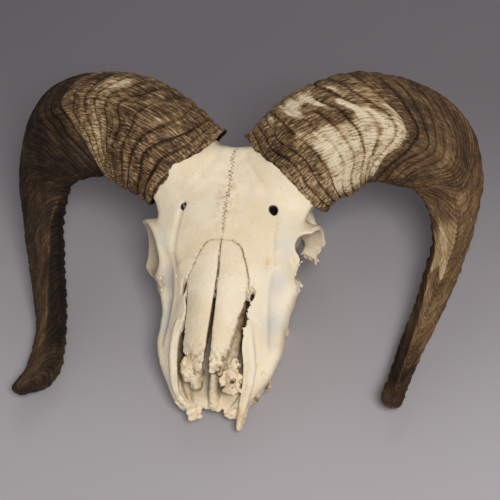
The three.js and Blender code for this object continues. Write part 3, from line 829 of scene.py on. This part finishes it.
def form_cranium(grid, hollow, roof, wave, grit):
    """Joins and cuts the cranium's forms. Returns the grid as it was before the hollows."""
    x, y, z = np.meshgrid(*grid.axes, indexing="ij", sparse=True)
    grid.values += 0.35 * wave
    for shape in (orbit_cup(LEFT), mirrored(orbit_cup(RIGHT))):
        grid.join(shape, 8)
    for shape in [bar(SKULL_BASE), *both(ball(*CONDYLE, (0.3, 0, -0.3))), *both(ball(*EAR_BULLA)),
                  *both(bar(JUGULAR_PROCESS)), *both(bar(JAW_END)), *both(bar(PTERYGOID))]:
        grid.join(shape, 4)
    solid = Grid([a[0] for a in grid.axes], [a[-1] for a in grid.axes], grid.step)
    solid.values = grid.values.copy()
    for points, width, depth in FURROWS.values():
        for side in (LEFT, RIGHT):
            grid.press(catmull(np.array(points) * (side, 1, 1), 14), width, depth)
    for shape in [*both(ball(*ORBIT)), *both(ball(*TEMPLE)), *both(ball(*PASSAGE))]:
        grid.cut(shape, 2)
    grid.cut(ball(*ORBIT_NOTCH), 3, 0.4 * wave)
    for centre, size in ORBIT_BREAKS:
        grid.cut(ball(centre, size), 0.5, 1.3 * grit)
    grid.join(mirrored(bar([*ARCH_FRONT, *ARCH_REAR], 14)), 3)
    grid.join(bar(ARCH_REAR, 4), 3)
    grid.cut(ball(*SPINAL_HOLE), 2)
    grid.cut(ball(*THROAT), 3)
    for side in (LEFT, RIGHT):
        for number in range(len(TOOTH_LENGTHS)):
            grid.join(tooth(side, number), 0.6)
    grid.values = np.maximum(grid.values, -hollow)
    for side in (LEFT, RIGHT):
        grid.cut(nose_opening(side), 0.8)
        grid.cut(nasal_shape(side, roof, NASAL_GAP))
    front = -101.5 - y + 2.2 * wave + 1.2 * grit
    grid.values = np.maximum(grid.values, front)
    for shape in (bar(LEFT_STRIP, 14), bar(RIGHT_STRIP, 14)):
        grid.join(shape, 1.5, 0.25 * grit)
    for shape in [*both(bar(TURBINATE, 12)), bar(VOMER, 10)]:
        grid.join(shape, 1.5, 0.3 * grit)
    for centre, size, amount in SCROLLS:
        grid.join(ball(centre, size), 1.5, amount * grit)
    grid.join(bar(LEFT_SPIKE, 6), 1.5, 0.7 * grit)
    grid.join(bar(RIGHT_SCRAP, 4), 1, 1.3 * grit)
    for centre, size in LEFT_SNAGS:
        grid.join(ball(centre, size), 1, 1.4 * grit)
    for centre, size in NASAL_HOLES:
        grid.cut(ball(centre, size), 0.4, 0.5 * grit)
    grid.cut(ball([36, 23.5, 0], [2.7, 2.9, 16]), 0.8)
    grid.cut(ball([-35.5, 24.5, 0], [1.4, 3, 16], (0, 0, 0.25)), 0.8)
    for centre, radius in SMALL_HOLES:
        grid.cut(ball(grid.settle([centre])[0], [radius, radius, radius * 2.5]), 0.3)
    for number, (centre, spread, count, size) in enumerate(PORES):
        scatter(grid, centre, spread, count, size, 60 + number)
    grid.press([[0, 8, 4], [0.2, 2, 1], [0, -4, -2]], 0.7, 1.3)
    grid.values = np.maximum(grid.values, -(z + NASION_HEIGHT))
    return solid


# ---------------------------------------------------------------- bone: nasals
def nasal_shape(side, roof, grow=0.0):
    """Thin arched plate beside the midline. Grown, it is the bed that the plate lies in, open above."""
    dense = catmull(NASALS[side], 240)[::-1]
    ridges = catmull(FACE, 240)
    low = [min(0, 26 * side) - 1, -92, -62]
    high = [max(0, 26 * side) + 1, -1, 6]

    def distance(x, y, z):
        share = np.clip((NASAL_BACK - y) / 87, 0, 1)
        slit = lerp(NASAL_SLIT + 0.1, SLIT_FRONT[side][0], share ** SLIT_FRONT[side][1]) - grow
        wander = 0.35 * lattice_noise(y / 1.4, y * 0, 51 + side)
        outer = np.interp(y, dense[:, 0], dense[:, 1]) + wander + grow
        droop = np.interp(y, dense[:, 0], dense[:, 2])
        ridge = np.interp(y, ridges[:, 0], ridges[:, 1]) + NASAL_RISE
        u = x * side
        arch = lerp(ridge - droop * (u / outer) ** 2, roof(x, y), smooth(-34, -18, y))
        s = np.clip((u - slit) / (outer - slit), 0, 1)
        arch = arch + NASAL_BULGE * 4 * s * (1 - s) * smooth(-4, -26, y) * smooth(-92, -76, y)
        edge = np.maximum(np.maximum(u - outer, slit - u), -90 - grow - y)
        edge = np.maximum(edge, y - NASAL_BACK - grow)
        below = arch - NASAL_THICKNESS - grow - z
        if grow:
            return np.maximum(edge, below)
        return -smooth_min(-edge, -np.maximum(z - arch, below), 1.4)
    return low, high, distance


def nasal_piece(name, side, roof):
    low = [min(0, 26 * side) - 2, -93, -62]
    high = [max(0, 26 * side) + 2, 0, 6]
    grid = Grid(low, high, NASAL_STEP)
    grid.join(nasal_shape(side, roof))
    grit = soft_noise(low, high, 1.8, 7 + side)
    wave = soft_noise(low, high, 5, 17 + side)
    x, y, z = np.meshgrid(*grid.axes, indexing="ij", sparse=True)
    ragged = smooth(-68, -86, y)
    grid.values += (0.1 + 0.45 * ragged) * resample(grit.values, grit.axes, grid.axes)
    grid.values += (0.12 + 0.5 * ragged) * resample(wave.values, wave.axes, grid.axes)
    scatter(grid, [14 * side, -80, -45], [5, 6, 3], 26, 0.8, 80 + side)
    scatter(grid, [11 * side, -60, -35], [8, 26, 3], 22, 0.45, 90 + side)
    points, quads = largest_body(*surface(grid))
    points = eased(points, quads, 2)
    marks = bone_marks(points)
    marks["stain_and_shade"] = 0.55 * smooth(-66, -84, points[:, 1]) * smooth(-0.2, 0.7, grit.at(points))
    # Painted shade: darker on the nasal bones' sides and undersides, below their top.
    marks["stain_and_shade"] += smooth(1.5, 2.6, roof_depth(points)) * 0.6
    return make_object(name, points, [quads], bone_material(), marks)


def roof_depth(points):
    """How far below the nasal bones' top a point lies."""
    ridges = catmull(FACE, 240)
    px, py, pz = points.T
    return np.interp(py, ridges[:, 0], ridges[:, 1]) + NASAL_RISE - 7 * (px / 23) ** 2 - pz


def bone_marks(points):
    """Colour marks on bone: the midline suture, dark lines, painted shade in hollows, holes and the
    nasal slit, and warm ends.
    """
    px, py, pz = points.T
    seam = smooth(4, 10, py) * smooth(76, 68, py) * np.exp(-(px / 7) ** 2) * (pz > -14)
    dark = np.zeros(len(points))
    for side in (LEFT, RIGHT):
        dense = catmull(NASALS[side], 240)[::-1]
        line = np.stack([dense[:, 1] * side, dense[:, 0]], 1)[::4]
        near = np.min(np.hypot(px[:, None] - line[:, 0], py[:, None] - line[:, 1]), 1)
        dark = np.maximum(dark, np.exp(-(near / 0.9) ** 2) * (py > -36) * (pz > -40) * 0.8)
    hollow_shade = np.zeros(len(points))
    for centre, size in SHADE_SPOTS:
        for side in (LEFT, RIGHT):
            away = (points - np.array(centre) * (side, 1, 1)) / size
            hollow_shade = np.maximum(hollow_shade, np.exp(-(away ** 2).sum(1)))
    warm = np.zeros(len(points))
    for centre, size in WARM_SPOTS:
        away = (points - np.array(centre)) / size
        warm = np.maximum(warm, np.exp(-(away ** 2).sum(1)))
    crack = np.exp(-((px - 0.1) / 0.7) ** 2) * smooth(10, 7, py) * (pz > -32)
    dark = np.maximum(dark, crack * smooth(-40, -36, py))
    ridges = catmull(FACE, 240)
    sunk = np.interp(py, ridges[:, 0], ridges[:, 1]) - pz
    # Painted shade: near black down the slit between the nasal bones and inside the foramina.
    hole_shade = 0.85 * (np.abs(px) < 1.6) * between(py, -42, -36, -4, -2) * smooth(0.6, 1.6, sunk) * (sunk < 6)
    for centre, radius in FORAMINA:
        away = np.hypot(px - centre[0], py - centre[1])
        hole_shade = np.maximum(hole_shade, smooth(radius + 1.2, radius + 0.4, away) * smooth(0.4, 2.0, centre[2] - pz))
    stain_and_shade = np.zeros(len(points))
    return {"seam": seam, "dark": dark, "hollow_shade": hollow_shade, "warm": warm, "hole_shade": hole_shade, "stain_and_shade": stain_and_shade}


# ---------------------------------------------------------------- horns
def ring_place(side, run, degrees):
    """Length along the horn at which the growth ring through a point would cross its leading angle."""
    lead = lerp(*RING_BULGE[side], smooth(10, 95, run))
    depth = lerp(9, 38, smooth(0, 110, run))
    away = (degrees - lead + 540) % 360 - 180
    return run + depth * (1 - np.exp(-(away / 66) ** 2))


def far_face(side, run, degrees):
    """Where the horn's hidden inner face begins past its lower keel, and the keel's own line."""
    keel = np.interp(run, [200, 228, 262, 286, 305, 325], [0, 22, 33, 50, 58, 62])
    end = smooth(346, 318, run) if side == RIGHT else smooth(352, 338, run)
    away = (degrees + 180) % 360 - 180 - keel
    along = smooth(196, 220, run) * end
    face = smooth(4, -4, away) * smooth(-95, -75, away) * along
    return face, np.exp(-(away / 6) ** 2) * along


def horn_relief(side, run, degrees, length):
    """Height above the smooth surface, how deep in a groove each point is, and its growth ring."""
    seed = 11 if side == LEFT else 21
    around = degrees / 360
    place = ring_place(side, run, degrees)
    calm = lerp(1, 0.4, smooth(110, 200, place))
    place = place + calm * 5 * lattice_noise(place / 30, around * 8, seed, 8)
    place = place + calm * 2.4 * lattice_noise(place / 11, around * 15, seed + 1, 15)
    table = np.linspace(-80, length + 90, 2400)
    pitch = lerp(9.6, 4.2, smooth(105, 165, table))
    phase_table = np.cumsum(1 / pitch) * (table[1] - table[0])
    phase = np.interp(place, table, phase_table)
    near = np.interp(place, table, pitch)
    share = phase - np.floor(phase)
    gap = np.minimum(share, 1 - share) * near
    keel = np.exp(-(((degrees - 170 + 540) % 360 - 180) / 40) ** 2)
    strong = lerp(1.0, 0.28, smooth(100, 165, place)) * (1 - 0.35 * keel * smooth(130, 90, run))
    uneven = 0.5 + 0.5 * lattice_noise(np.floor(phase + 0.5) * 1.37, around * 7, seed + 2, 7)
    groove = np.exp(-(gap / 0.8) ** 2) * lerp(0.3, 1.0, uneven)
    hump = np.sin(np.pi * share) ** 0.7
    wide = lattice_noise(phase / 2.1, around * 9, seed + 3, 9)
    crinkle = lattice_noise(place / 2.1, around * 22, seed + 4, 22)
    lumps = lattice_noise(place / 6, around * 34, seed + 5, 34)
    height = strong * (1.7 * hump - 1.5 * groove + 1.6 * wide + 0.5 * crinkle + 0.6 * lumps) - 1.2
    face, ridge = far_face(side, run, degrees)
    scallop = np.sin(2 * np.pi * place / 9.4 + 1.5 * lattice_noise(place / 20, around * 3, seed + 6, 3))
    below = np.exp(-(((degrees - 315 + 540) % 360 - 180) / 45) ** 2) * smooth(120, 170, run)
    height = height + scallop * (0.3 * keel * smooth(120, 170, run) + 0.5 * below + 0.3 * face)
    height = height + 0.9 * ridge - 0.9 * face * smooth(-95, -40, (degrees + 180) % 360 - 180)
    return height, groove * np.clip(strong, 0, 1), place


def blob(run, degrees, centre, size):
    """One in the middle of a patch, fading to nothing over its size in length and angle."""
    away = turned(degrees, centre[1])
    return np.exp(-(((run - centre[0]) / size[0]) ** 2 + (away / size[1]) ** 2) ** 2)


def horn_tone_and_shading(side, run, degrees, place):
    """Lightness from 0, nearly black, to 1, whitish. Painted shade darkens the far face past the
    keel and a painted highlight lightens the keel's line.
    """
    around = degrees / 360
    seed = 71 if side == LEFT else 81
    clouds = lattice_noise(place / 14, around * 9, seed, 9)
    streaks = lattice_noise(place / 5, around * 26, seed + 1, 26)
    face, ridge = far_face(side, run, degrees)
    if side == LEFT:
        tone_and_shading = lerp(0.46, 0.37, smooth(98, 106, place))
        ring = place + 3 * clouds
        pale = between(ring, 40, 54, 98, 103) * between(degrees, 8, 26, 92, 112 + 9 * clouds)
        tone_and_shading = tone_and_shading + 0.44 * pale
        light = smooth(15, 40, run) * smooth(118, 100, place) * between(degrees, 95, 112, 150, 165)
        tone_and_shading = tone_and_shading + light * (0.06 + 0.4 * smooth(0.1, 0.45, streaks + 0.6 * clouds))
        tone_and_shading = tone_and_shading + 0.14 * between(run, 6, 16, 26, 40) * between(degrees, 0, 20, 80, 105)
        tone_and_shading = tone_and_shading - 0.16 * blob(run, degrees, (26, 112), (14, 24)) * smooth(-0.6, 0.3, streaks)
        notch = 12 * np.abs(((degrees - 48) / 26 + 40) % 2 - 1)
        patch = smooth(196, 208, run) * smooth(250, 247, run + notch) * between(degrees, 12, 30, 76, 84)
        tone_and_shading = tone_and_shading + 0.26 * patch + 0.06 * smooth(150, 190, run)
        tone_and_shading = tone_and_shading - 0.16 * smooth(285, 335, run)
    else:
        tone_and_shading = lerp(0.43, 0.16, smooth(107, 113, place))
        tone_and_shading = tone_and_shading + 0.36 * blob(place, degrees, (79, 146), (5.5, 14))
        tone_and_shading = tone_and_shading + 0.1 * smooth(55, 80, place) * smooth(112, 105, place) * smooth(140, 100, degrees)
        tone_and_shading = tone_and_shading + 0.1 * blob(run, degrees, (300, 70), (60, 26)) + 0.05 * smooth(200, 240, run)
    # Painted shade darkens the far face past the keel, turned from the light; a painted highlight lightens
    # the keel's line.
    return tone_and_shading + 0.1 * clouds + 0.09 * streaks - 0.22 * face + 0.14 * ridge


def horn_piece(name, side, bone):
    centre, along, across, face, half, length = horn_line(side)
    total = length[-1]
    degrees = np.arange(HORN_COLUMNS) * 360 / HORN_COLUMNS
    rim = RIM_SLANT * (0.5 + 0.5 * np.cos(np.radians(degrees - RIM_ANGLE)))
    rim = rim + RIM_BARE[side] * np.exp(-((degrees - 82) / 52) ** 2)
    rim = rim - RIM_PEAK[side] * np.exp(-((degrees - 195) / 62) ** 2)
    probe = np.linspace(0, 60, 121)
    grid_run, grid_deg = np.meshgrid(probe, degrees, indexing="ij")
    depth = bone.at(horn_surface(side, grid_run, grid_deg).reshape(-1, 3)).reshape(grid_run.shape)
    buried = np.where(depth < -0.6, grid_run, -20).max(0)
    start = np.maximum(rim, buried)
    for _ in range(6):
        start = np.maximum(rim, (start + np.roll(start, 1) + np.roll(start, -1)) / 3)
    start = start + 1.3 * lattice_noise(degrees * 0 + 3.3, degrees / 360 * 40, 31 + side, 40)
    start = start + 0.6 * lattice_noise(degrees * 0 + 7.3, degrees / 360 * 110, 41 + side, 110)
    v = np.linspace(0, 1, HORN_RUNS)[:, None]
    run = start + (total - start) * v
    deg = np.broadcast_to(degrees, run.shape)
    smooth_points = horn_surface(side, run, deg)
    du = np.gradient(smooth_points, axis=0)
    dv = np.roll(smooth_points, -1, 1) - np.roll(smooth_points, 1, 1)
    normal = np.cross(du, dv) * side
    normal /= np.linalg.norm(normal, axis=2)[..., None] + 1e-9
    height, groove, place = horn_relief(side, run, deg, total)
    lip = np.exp(-((run - start) / 3.5) ** 2)
    points = smooth_points + normal * (lerp(height, 0.9, lip))[..., None]
    near = (run[:, 0] < 45).argmin()
    clear = bone.at(points[:near].reshape(-1, 3)).reshape(near, -1)
    points[:near] += normal[:near] * np.clip(0.8 - clear, 0, 4)[..., None]
    rings = [points]
    # blunt tip
    tip = points[-1]
    middle = tip.mean(0)
    for k in range(1, TIP_RINGS + 1):
        t = k / (TIP_RINGS + 1) * math.pi / 2
        rings.append(((tip - middle) * math.cos(t) ** 0.7 + middle + along[-1] * 6.5 * math.sin(t))[None])
    # inside of the rim
    inner = []
    for k in range(INNER_RINGS):
        inner_run = start + k * 3.0
        scale = 0.95 - 0.04 * min(k, 4) / 4
        inner.append(horn_surface(side, inner_run, degrees, scale)[None])
    shell = np.concatenate([*inner[::-1], *rings])
    count = shell.shape[0]
    flat = shell.reshape(-1, 3)
    ends = np.array([shell[0].mean(0), shell[-1].mean(0) + along[-1] * 0.3])
    flat = np.concatenate([flat, ends])
    flat[:, 2] = np.maximum(flat[:, 2], -NASION_HEIGHT)
    rows = np.arange(count - 1)[:, None] * HORN_COLUMNS
    cols = np.arange(HORN_COLUMNS)[None]
    after = (cols + 1) % HORN_COLUMNS
    later = rows + HORN_COLUMNS
    quads = np.stack([rows + cols, rows + after, later + after, later + cols], -1)
    quads = quads.reshape(-1, 4)
    first, last = len(flat) - 2, len(flat) - 1
    c = cols[0]
    n = after[0]
    top = (count - 1) * HORN_COLUMNS
    caps = np.concatenate([
        np.stack([np.full(len(c), first), n, c], 1), np.stack([np.full(len(c), last), top + c, top + n], 1)])
    if side == LEFT:
        quads, caps = quads[:, ::-1], caps[:, ::-1]

    def spread(body, before):
        """Values for all points: one value inside the rim, and the last row's over the tip."""
        return np.concatenate([
            np.full(INNER_RINGS * HORN_COLUMNS, before), body.ravel(), np.tile(body[-1], TIP_RINGS),
            [before, body[-1].mean()]])
    growth = np.stack([
        spread(place, 0), spread(deg / 360 * HORN_GIRTH, 0), spread(run, -20)], 1)
    tone_and_shading = horn_tone_and_shading(side, run, deg, place)
    # Inside the rim the groove is set to full and the lightness near black: painted shade in the gap under
    # the sheath's edge.
    return make_object(name, flat, [quads, caps], horn_material(),
                       {"groove": spread(groove, 1), "tone_and_shading": spread(tone_and_shading, 0.15),
                        "coarse": spread(smooth(125, 95, place), 0)}, {"growth": growth})


# ---------------------------------------------------------------- materials
def linear(r, g, b):
    """Colour from its 0 to 255 screen values."""
    def one(v):
        v /= 255
        return v / 12.92 if v <= 0.04045 else ((v + 0.055) / 1.055) ** 2.4
    return (one(r), one(g), one(b), 1)


class Nodes:
    """Small helper that adds and links shader nodes."""

    def __init__(self, name):
        self.material = bpy.data.materials.new(name)
        self.material.use_nodes = True
        self.tree = self.material.node_tree
        self.shader = self.tree.nodes["Principled BSDF"]

    def add(self, kind, **values):
        node = self.tree.nodes.new(kind)
        for key, value in values.items():
            if key in node.inputs:
                self.put(value, node.inputs[key])
            else:
                setattr(node, key, value)
        return node

    def put(self, value, socket):
        if isinstance(value, bpy.types.NodeSocket):
            self.tree.links.new(value, socket)
        else:
            socket.default_value = value

    def value(self, name):
        return self.add("ShaderNodeAttribute", attribute_name=name).outputs["Fac"]

    def vector(self, name):
        return self.add("ShaderNodeAttribute", attribute_name=name).outputs["Vector"]

    def place(self):
        return self.add("ShaderNodeTexCoord").outputs["Object"]

    def stretch(self, vector, scale):
        return self.add("ShaderNodeMapping", Vector=vector, Scale=scale).outputs["Vector"]

    def noise(self, vector, scale, detail=3.0, roughness=0.55):
        return self.add("ShaderNodeTexNoise", Vector=vector, Scale=scale, Detail=detail,
                        Roughness=roughness).outputs["Fac"]

    def band(self, value, low, high):
        node = self.add("ShaderNodeMapRange", interpolation_type="SMOOTHSTEP")
        self.put(value, node.inputs["Value"])
        node.inputs["From Min"].default_value = low
        node.inputs["From Max"].default_value = high
        return node.outputs["Result"]

    def math(self, operation, a, b=0.0):
        node = self.add("ShaderNodeMath", operation=operation)
        self.put(a, node.inputs[0])
        self.put(b, node.inputs[1])
        return node.outputs["Value"]

    def times(self, a, b):
        return self.math("MULTIPLY", a, b)

    def plus(self, a, b):
        return self.math("ADD", a, b)

    def mix(self, share, a, b):
        node = self.add("ShaderNodeMix", data_type="RGBA")
        self.put(share, node.inputs[0])
        self.put(a, node.inputs[6])
        self.put(b, node.inputs[7])
        return node.outputs[2]

    def bump(self, height, strength, distance, normal=None):
        node = self.add("ShaderNodeBump", Height=height, Strength=strength, Distance=distance)
        if normal is not None:
            self.put(normal, node.inputs["Normal"])
        return node.outputs["Normal"]

    def finish(self, colour, roughness, normal, specular=0.3):
        self.put(colour, self.shader.inputs["Base Color"])
        self.put(roughness, self.shader.inputs["Roughness"])
        self.put(normal, self.shader.inputs["Normal"])
        self.shader.inputs["Specular IOR Level"].default_value = specular
        return self.material


IVORY = linear(243, 228, 200)
CREAM = linear(232, 211, 174)
CHALK = linear(222, 218, 210)
SHADE_GREY = linear(196, 200, 205)
AMBER = linear(206, 164, 104)
TAN = linear(158, 128, 90)
BROWN = linear(84, 58, 36)


def bone_material():
    if "weathered_bone" in bpy.data.materials:
        return bpy.data.materials["weathered_bone"]
    m = Nodes("weathered_bone")
    place = m.place()
    broad = m.band(m.noise(place, 24, 3), 0.4, 0.65)
    mottled = m.band(m.noise(place, 130, 4), 0.4, 0.75)
    vein = m.math("ABSOLUTE", m.math("SUBTRACT", m.noise(place, 95, 5, 0.6), 0.5))
    vein = m.times(m.band(vein, 0.012, 0.0), m.band(m.noise(place, 40, 2), 0.5, 0.62))
    speck = m.band(m.noise(place, 760, 3), 0.63, 0.76)
    colour = m.mix(m.times(broad, 0.8), IVORY, CREAM)
    colour = m.mix(m.times(mottled, 0.3), colour, CHALK)
    # painted shade: grey in the facial hollows
    colour = m.mix(m.times(m.value("hollow_shade"), 0.6), colour, SHADE_GREY)
    blotch = m.band(m.noise(place, 210, 4, 0.7), 0.42, 0.66)
    colour = m.mix(m.times(m.times(m.value("warm"), blotch), 0.65), colour, AMBER)
    colour = m.mix(m.times(speck, 0.45), colour, TAN)
    colour = m.mix(m.times(vein, 0.3), colour, TAN)
    # Tan and patchy brown over the stain mask: real stains on broken ends, and painted shade in hollows, in
    # the eye sockets and under the nasal bones.
    stain_and_shade = m.value("stain_and_shade")
    patchy = m.times(stain_and_shade, m.band(m.noise(place, 150, 4), 0.25, 0.7))
    colour = m.mix(m.times(stain_and_shade, 0.75), colour, TAN)
    colour = m.mix(m.times(patchy, 0.8), colour, BROWN)
    line = m.times(suture_line(m, place), m.value("seam"))
    marked = m.math("MAXIMUM", line, m.times(m.value("dark"), m.band(m.noise(place, 560, 2), 0.4, 0.54)))
    colour = m.mix(m.times(marked, 0.9), colour, linear(120, 82, 48))
    # painted shade: near black in holes and in the nasal slit
    colour = m.mix(m.value("hole_shade"), colour, linear(30, 20, 14))
    grain = m.noise(place, 1500, 3)
    pores = m.band(m.add("ShaderNodeTexVoronoi", Vector=place, Scale=420).outputs["Distance"], 0.0, 0.28)
    normal = m.bump(m.noise(place, 260, 5, 0.65), 0.6, 0.0009)
    normal = m.bump(grain, 0.25, 0.0004, normal)
    normal = m.bump(pores, 0.3, 0.0004, normal)
    normal = m.bump(m.math("SUBTRACT", 1.0, line), 0.6, 0.0006, normal)
    rough = m.plus(m.times(grain, 0.25), 0.45)
    return m.finish(colour, rough, normal)


def suture_line(m, place):
    """Fine zigzag line that wanders along the midline of the forehead."""
    apart = m.add("ShaderNodeSeparateXYZ", Vector=place)
    x, y = apart.outputs["X"], apart.outputs["Y"]
    saw = m.math("PINGPONG", m.times(y, MM / 1.3), 1.0)
    swing = m.times(m.math("SUBTRACT", saw, 0.5), 2.2 / MM)
    drift = m.times(m.math("SUBTRACT", m.noise(m.stretch(place, (0, 1, 0)), 90, 3), 0.5), 5 / MM)
    shift = m.times(m.math("SUBTRACT", m.noise(place, 420, 3), 0.5), 7 / MM)
    centre = m.math("SUBTRACT", x, float(NASION[0]) / MM)
    off = m.math("ABSOLUTE", m.plus(m.plus(centre, swing), m.plus(drift, shift)))
    node = m.add("ShaderNodeMapRange", interpolation_type="SMOOTHSTEP")
    m.put(off, node.inputs["Value"])
    node.inputs["From Min"].default_value = 0.8 / MM
    node.inputs["From Max"].default_value = 0.2 / MM
    return m.times(node.outputs["Result"], m.band(m.noise(place, 620, 2), 0.32, 0.46))


HORN_TONES = [(0.0, (30, 21, 14)), (0.2, (58, 42, 28)), (0.4, (98, 73, 48)), (0.62, (150, 122, 86)),
              (0.82, (196, 174, 138)), (1.0, (222, 208, 180))]


def horn_material():
    if "horn_sheath" in bpy.data.materials:
        return bpy.data.materials["horn_sheath"]
    m = Nodes("horn_sheath")
    growth = m.vector("growth")
    tone_and_shading, groove, coarse = m.value("tone_and_shading"), m.value("groove"), m.value("coarse")
    fibres = m.noise(m.stretch(growth, (0.2, 1.25, 0.03)), 1.0, 3, 0.6)
    strands = m.noise(m.stretch(growth, (0.05, 0.5, 0.03)), 1.0, 4, 0.6)
    rings = m.noise(m.stretch(growth, (1.3, 0.06, 0)), 1.0, 3, 0.65)
    flecks = m.noise(m.stretch(growth, (0.5, 0.6, 0)), 1.0, 4, 0.7)
    swing = m.plus(m.times(coarse, 1.05), 0.4)
    fibre_part = m.times(m.times(m.math("SUBTRACT", fibres, 0.5), 1.05), swing)
    strand_part = m.times(m.math("SUBTRACT", strands, 0.5), 0.4)
    ring_part = m.times(m.math("SUBTRACT", rings, 0.5), 0.55)
    fleck_part = m.times(m.math("SUBTRACT", flecks, 0.5), 0.6)
    total = m.plus(m.plus(tone_and_shading, fibre_part), m.plus(strand_part, m.plus(ring_part, fleck_part)))
    # painted shade: darker down in the growth-ring grooves
    total = m.math("SUBTRACT", total, m.times(groove, 0.42))
    ramp = m.add("ShaderNodeValToRGB")
    m.put(total, ramp.inputs["Fac"])
    stops = ramp.color_ramp.elements
    while len(stops) < len(HORN_TONES):
        stops.new(0.5)
    for stop, (position, colour) in zip(stops, HORN_TONES):
        stop.position = position
        stop.color = linear(*colour)
    height = m.plus(m.times(fibres, swing), m.plus(m.times(rings, 0.8), flecks))
    normal = m.bump(height, 0.6, 0.0010)
    rough = m.plus(m.times(fibres, 0.3), 0.45)
    return m.finish(ramp.outputs["Color"], rough, normal, 0.2)


def floor_material():
    """Matt grey cloth, darkened towards the back by painted shade."""
    m = Nodes("floor")
    back_shade = m.band(m.add("ShaderNodeSeparateXYZ", Vector=m.place()).outputs["Y"], -0.15, 0.3)
    tint = m.mix(back_shade, linear(176, 171, 175), linear(116, 110, 114))
    tint = m.mix(m.times(m.noise(m.place(), 3, 2), 0.05), tint, (1, 1, 1, 1))
    return m.finish(tint, 0.8, m.bump(m.noise(m.place(), 60, 3), 0.02, 0.001), 0.2)


# ---------------------------------------------------------------- camera, floor and lights
CAMERA_UP = Vector((-0.042, 0.722, 0.690))
CAMERA_BACK = Vector((0.28, -0.655, 0.702))
CAMERA_TARGET = Vector((20.5, -2.4, -10.4))
CAMERA_DISTANCE = 1150
CAMERA_LENS = 110.4


def add_camera():
    camera = bpy.data.objects.new("camera", bpy.data.cameras.new("camera"))
    bpy.context.scene.collection.objects.link(camera)
    back = CAMERA_BACK.normalized()
    right = CAMERA_UP.cross(back).normalized()
    up = back.cross(right)
    camera.data.lens = CAMERA_LENS
    camera.data.sensor_width = 36
    turn = Matrix((right, up, back)).transposed().to_4x4()
    position = (Vector(NASION) + CAMERA_TARGET + back * CAMERA_DISTANCE) / MM
    camera.matrix_world = Matrix.Translation(position) @ turn
    bpy.context.scene.camera = camera


def add_light(name, place, size, power, colour=(1, 1, 1)):
    data = bpy.data.lights.new(name, "AREA")
    data.energy, data.size, data.color = power, size, colour
    light = bpy.data.objects.new(name, data)
    bpy.context.scene.collection.objects.link(light)
    light.location = place
    light.rotation_mode = "QUATERNION"
    light.rotation_quaternion = (Vector(place) - Vector((0, 0, 0.06))).to_track_quat("Z", "Y")


def add_stage():
    mesh = bpy.data.meshes.new("floor")
    mesh.from_pydata([(-4, -4, 0), (4, -4, 0), (4, 4, 0), (-4, 4, 0)], [], [(0, 1, 2, 3)])
    floor = bpy.data.objects.new("floor", mesh)
    bpy.context.scene.collection.objects.link(floor)
    mesh.materials.append(floor_material())
    add_light("key", (0.75, -1.05, 1.4), 0.55, 26.5, (1, 0.98, 0.95))
    add_light("fill", (-1.3, -0.5, 0.9), 1.2, 0.5)
    add_light("back", (-0.2, 1.3, 1.2), 0.9, 4)
    world = bpy.data.worlds.new("world")
    bpy.context.scene.world = world
    world.use_nodes = True
    world.node_tree.nodes["Background"].inputs["Color"].default_value = (0.92, 0.94, 1, 1)
    world.node_tree.nodes["Background"].inputs["Strength"].default_value = 0.17
    bpy.context.scene.view_settings.view_transform = "Standard"


# ---------------------------------------------------------------- the whole skull
def keep(piece, slot, *nodes):
    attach(piece, "root")
    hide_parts(*nodes)


add_camera()
add_stage()
grid, roof, solid = cranium_grid()
points, quads = largest_body(*surface(grid))
points = eased(points, quads, 2)
marks = bone_marks(points)
# Painted shade: browner the deeper a point lies below the skull's outer form, in hollows, holes and the
# nose.
marks["stain_and_shade"] = smooth(2.5, 15, -solid.at(points))
# Painted shade inside the eye sockets.
socket = np.linalg.norm((points * np.sign(points[:, :1] + 1e-6) ** [1, 0, 0] - ORBIT[0]) / ORBIT[1], axis=1)
marks["stain_and_shade"] = np.maximum(marks["stain_and_shade"], 0.27 * smooth(1.05, 1.0, socket))
for centre, size in LEFT_SNAGS:
    marks["stain_and_shade"] = np.maximum(marks["stain_and_shade"], smooth(1.5, 0.8, apart(points, centre, size)))
keep(make_object("skull", points, [quads], bone_material(), marks), "bone", "cranium")
keep(nasal_piece("nasal_bone_left", LEFT, roof), "bone", "nasal_left")
keep(nasal_piece("nasal_bone_right", RIGHT, roof), "bone", "nasal_right")
keep(horn_piece("horn_sheath_left", LEFT, grid), "horn", "horn_left")
keep(horn_piece("horn_sheath_right", RIGHT, grid), "horn", "horn_right")
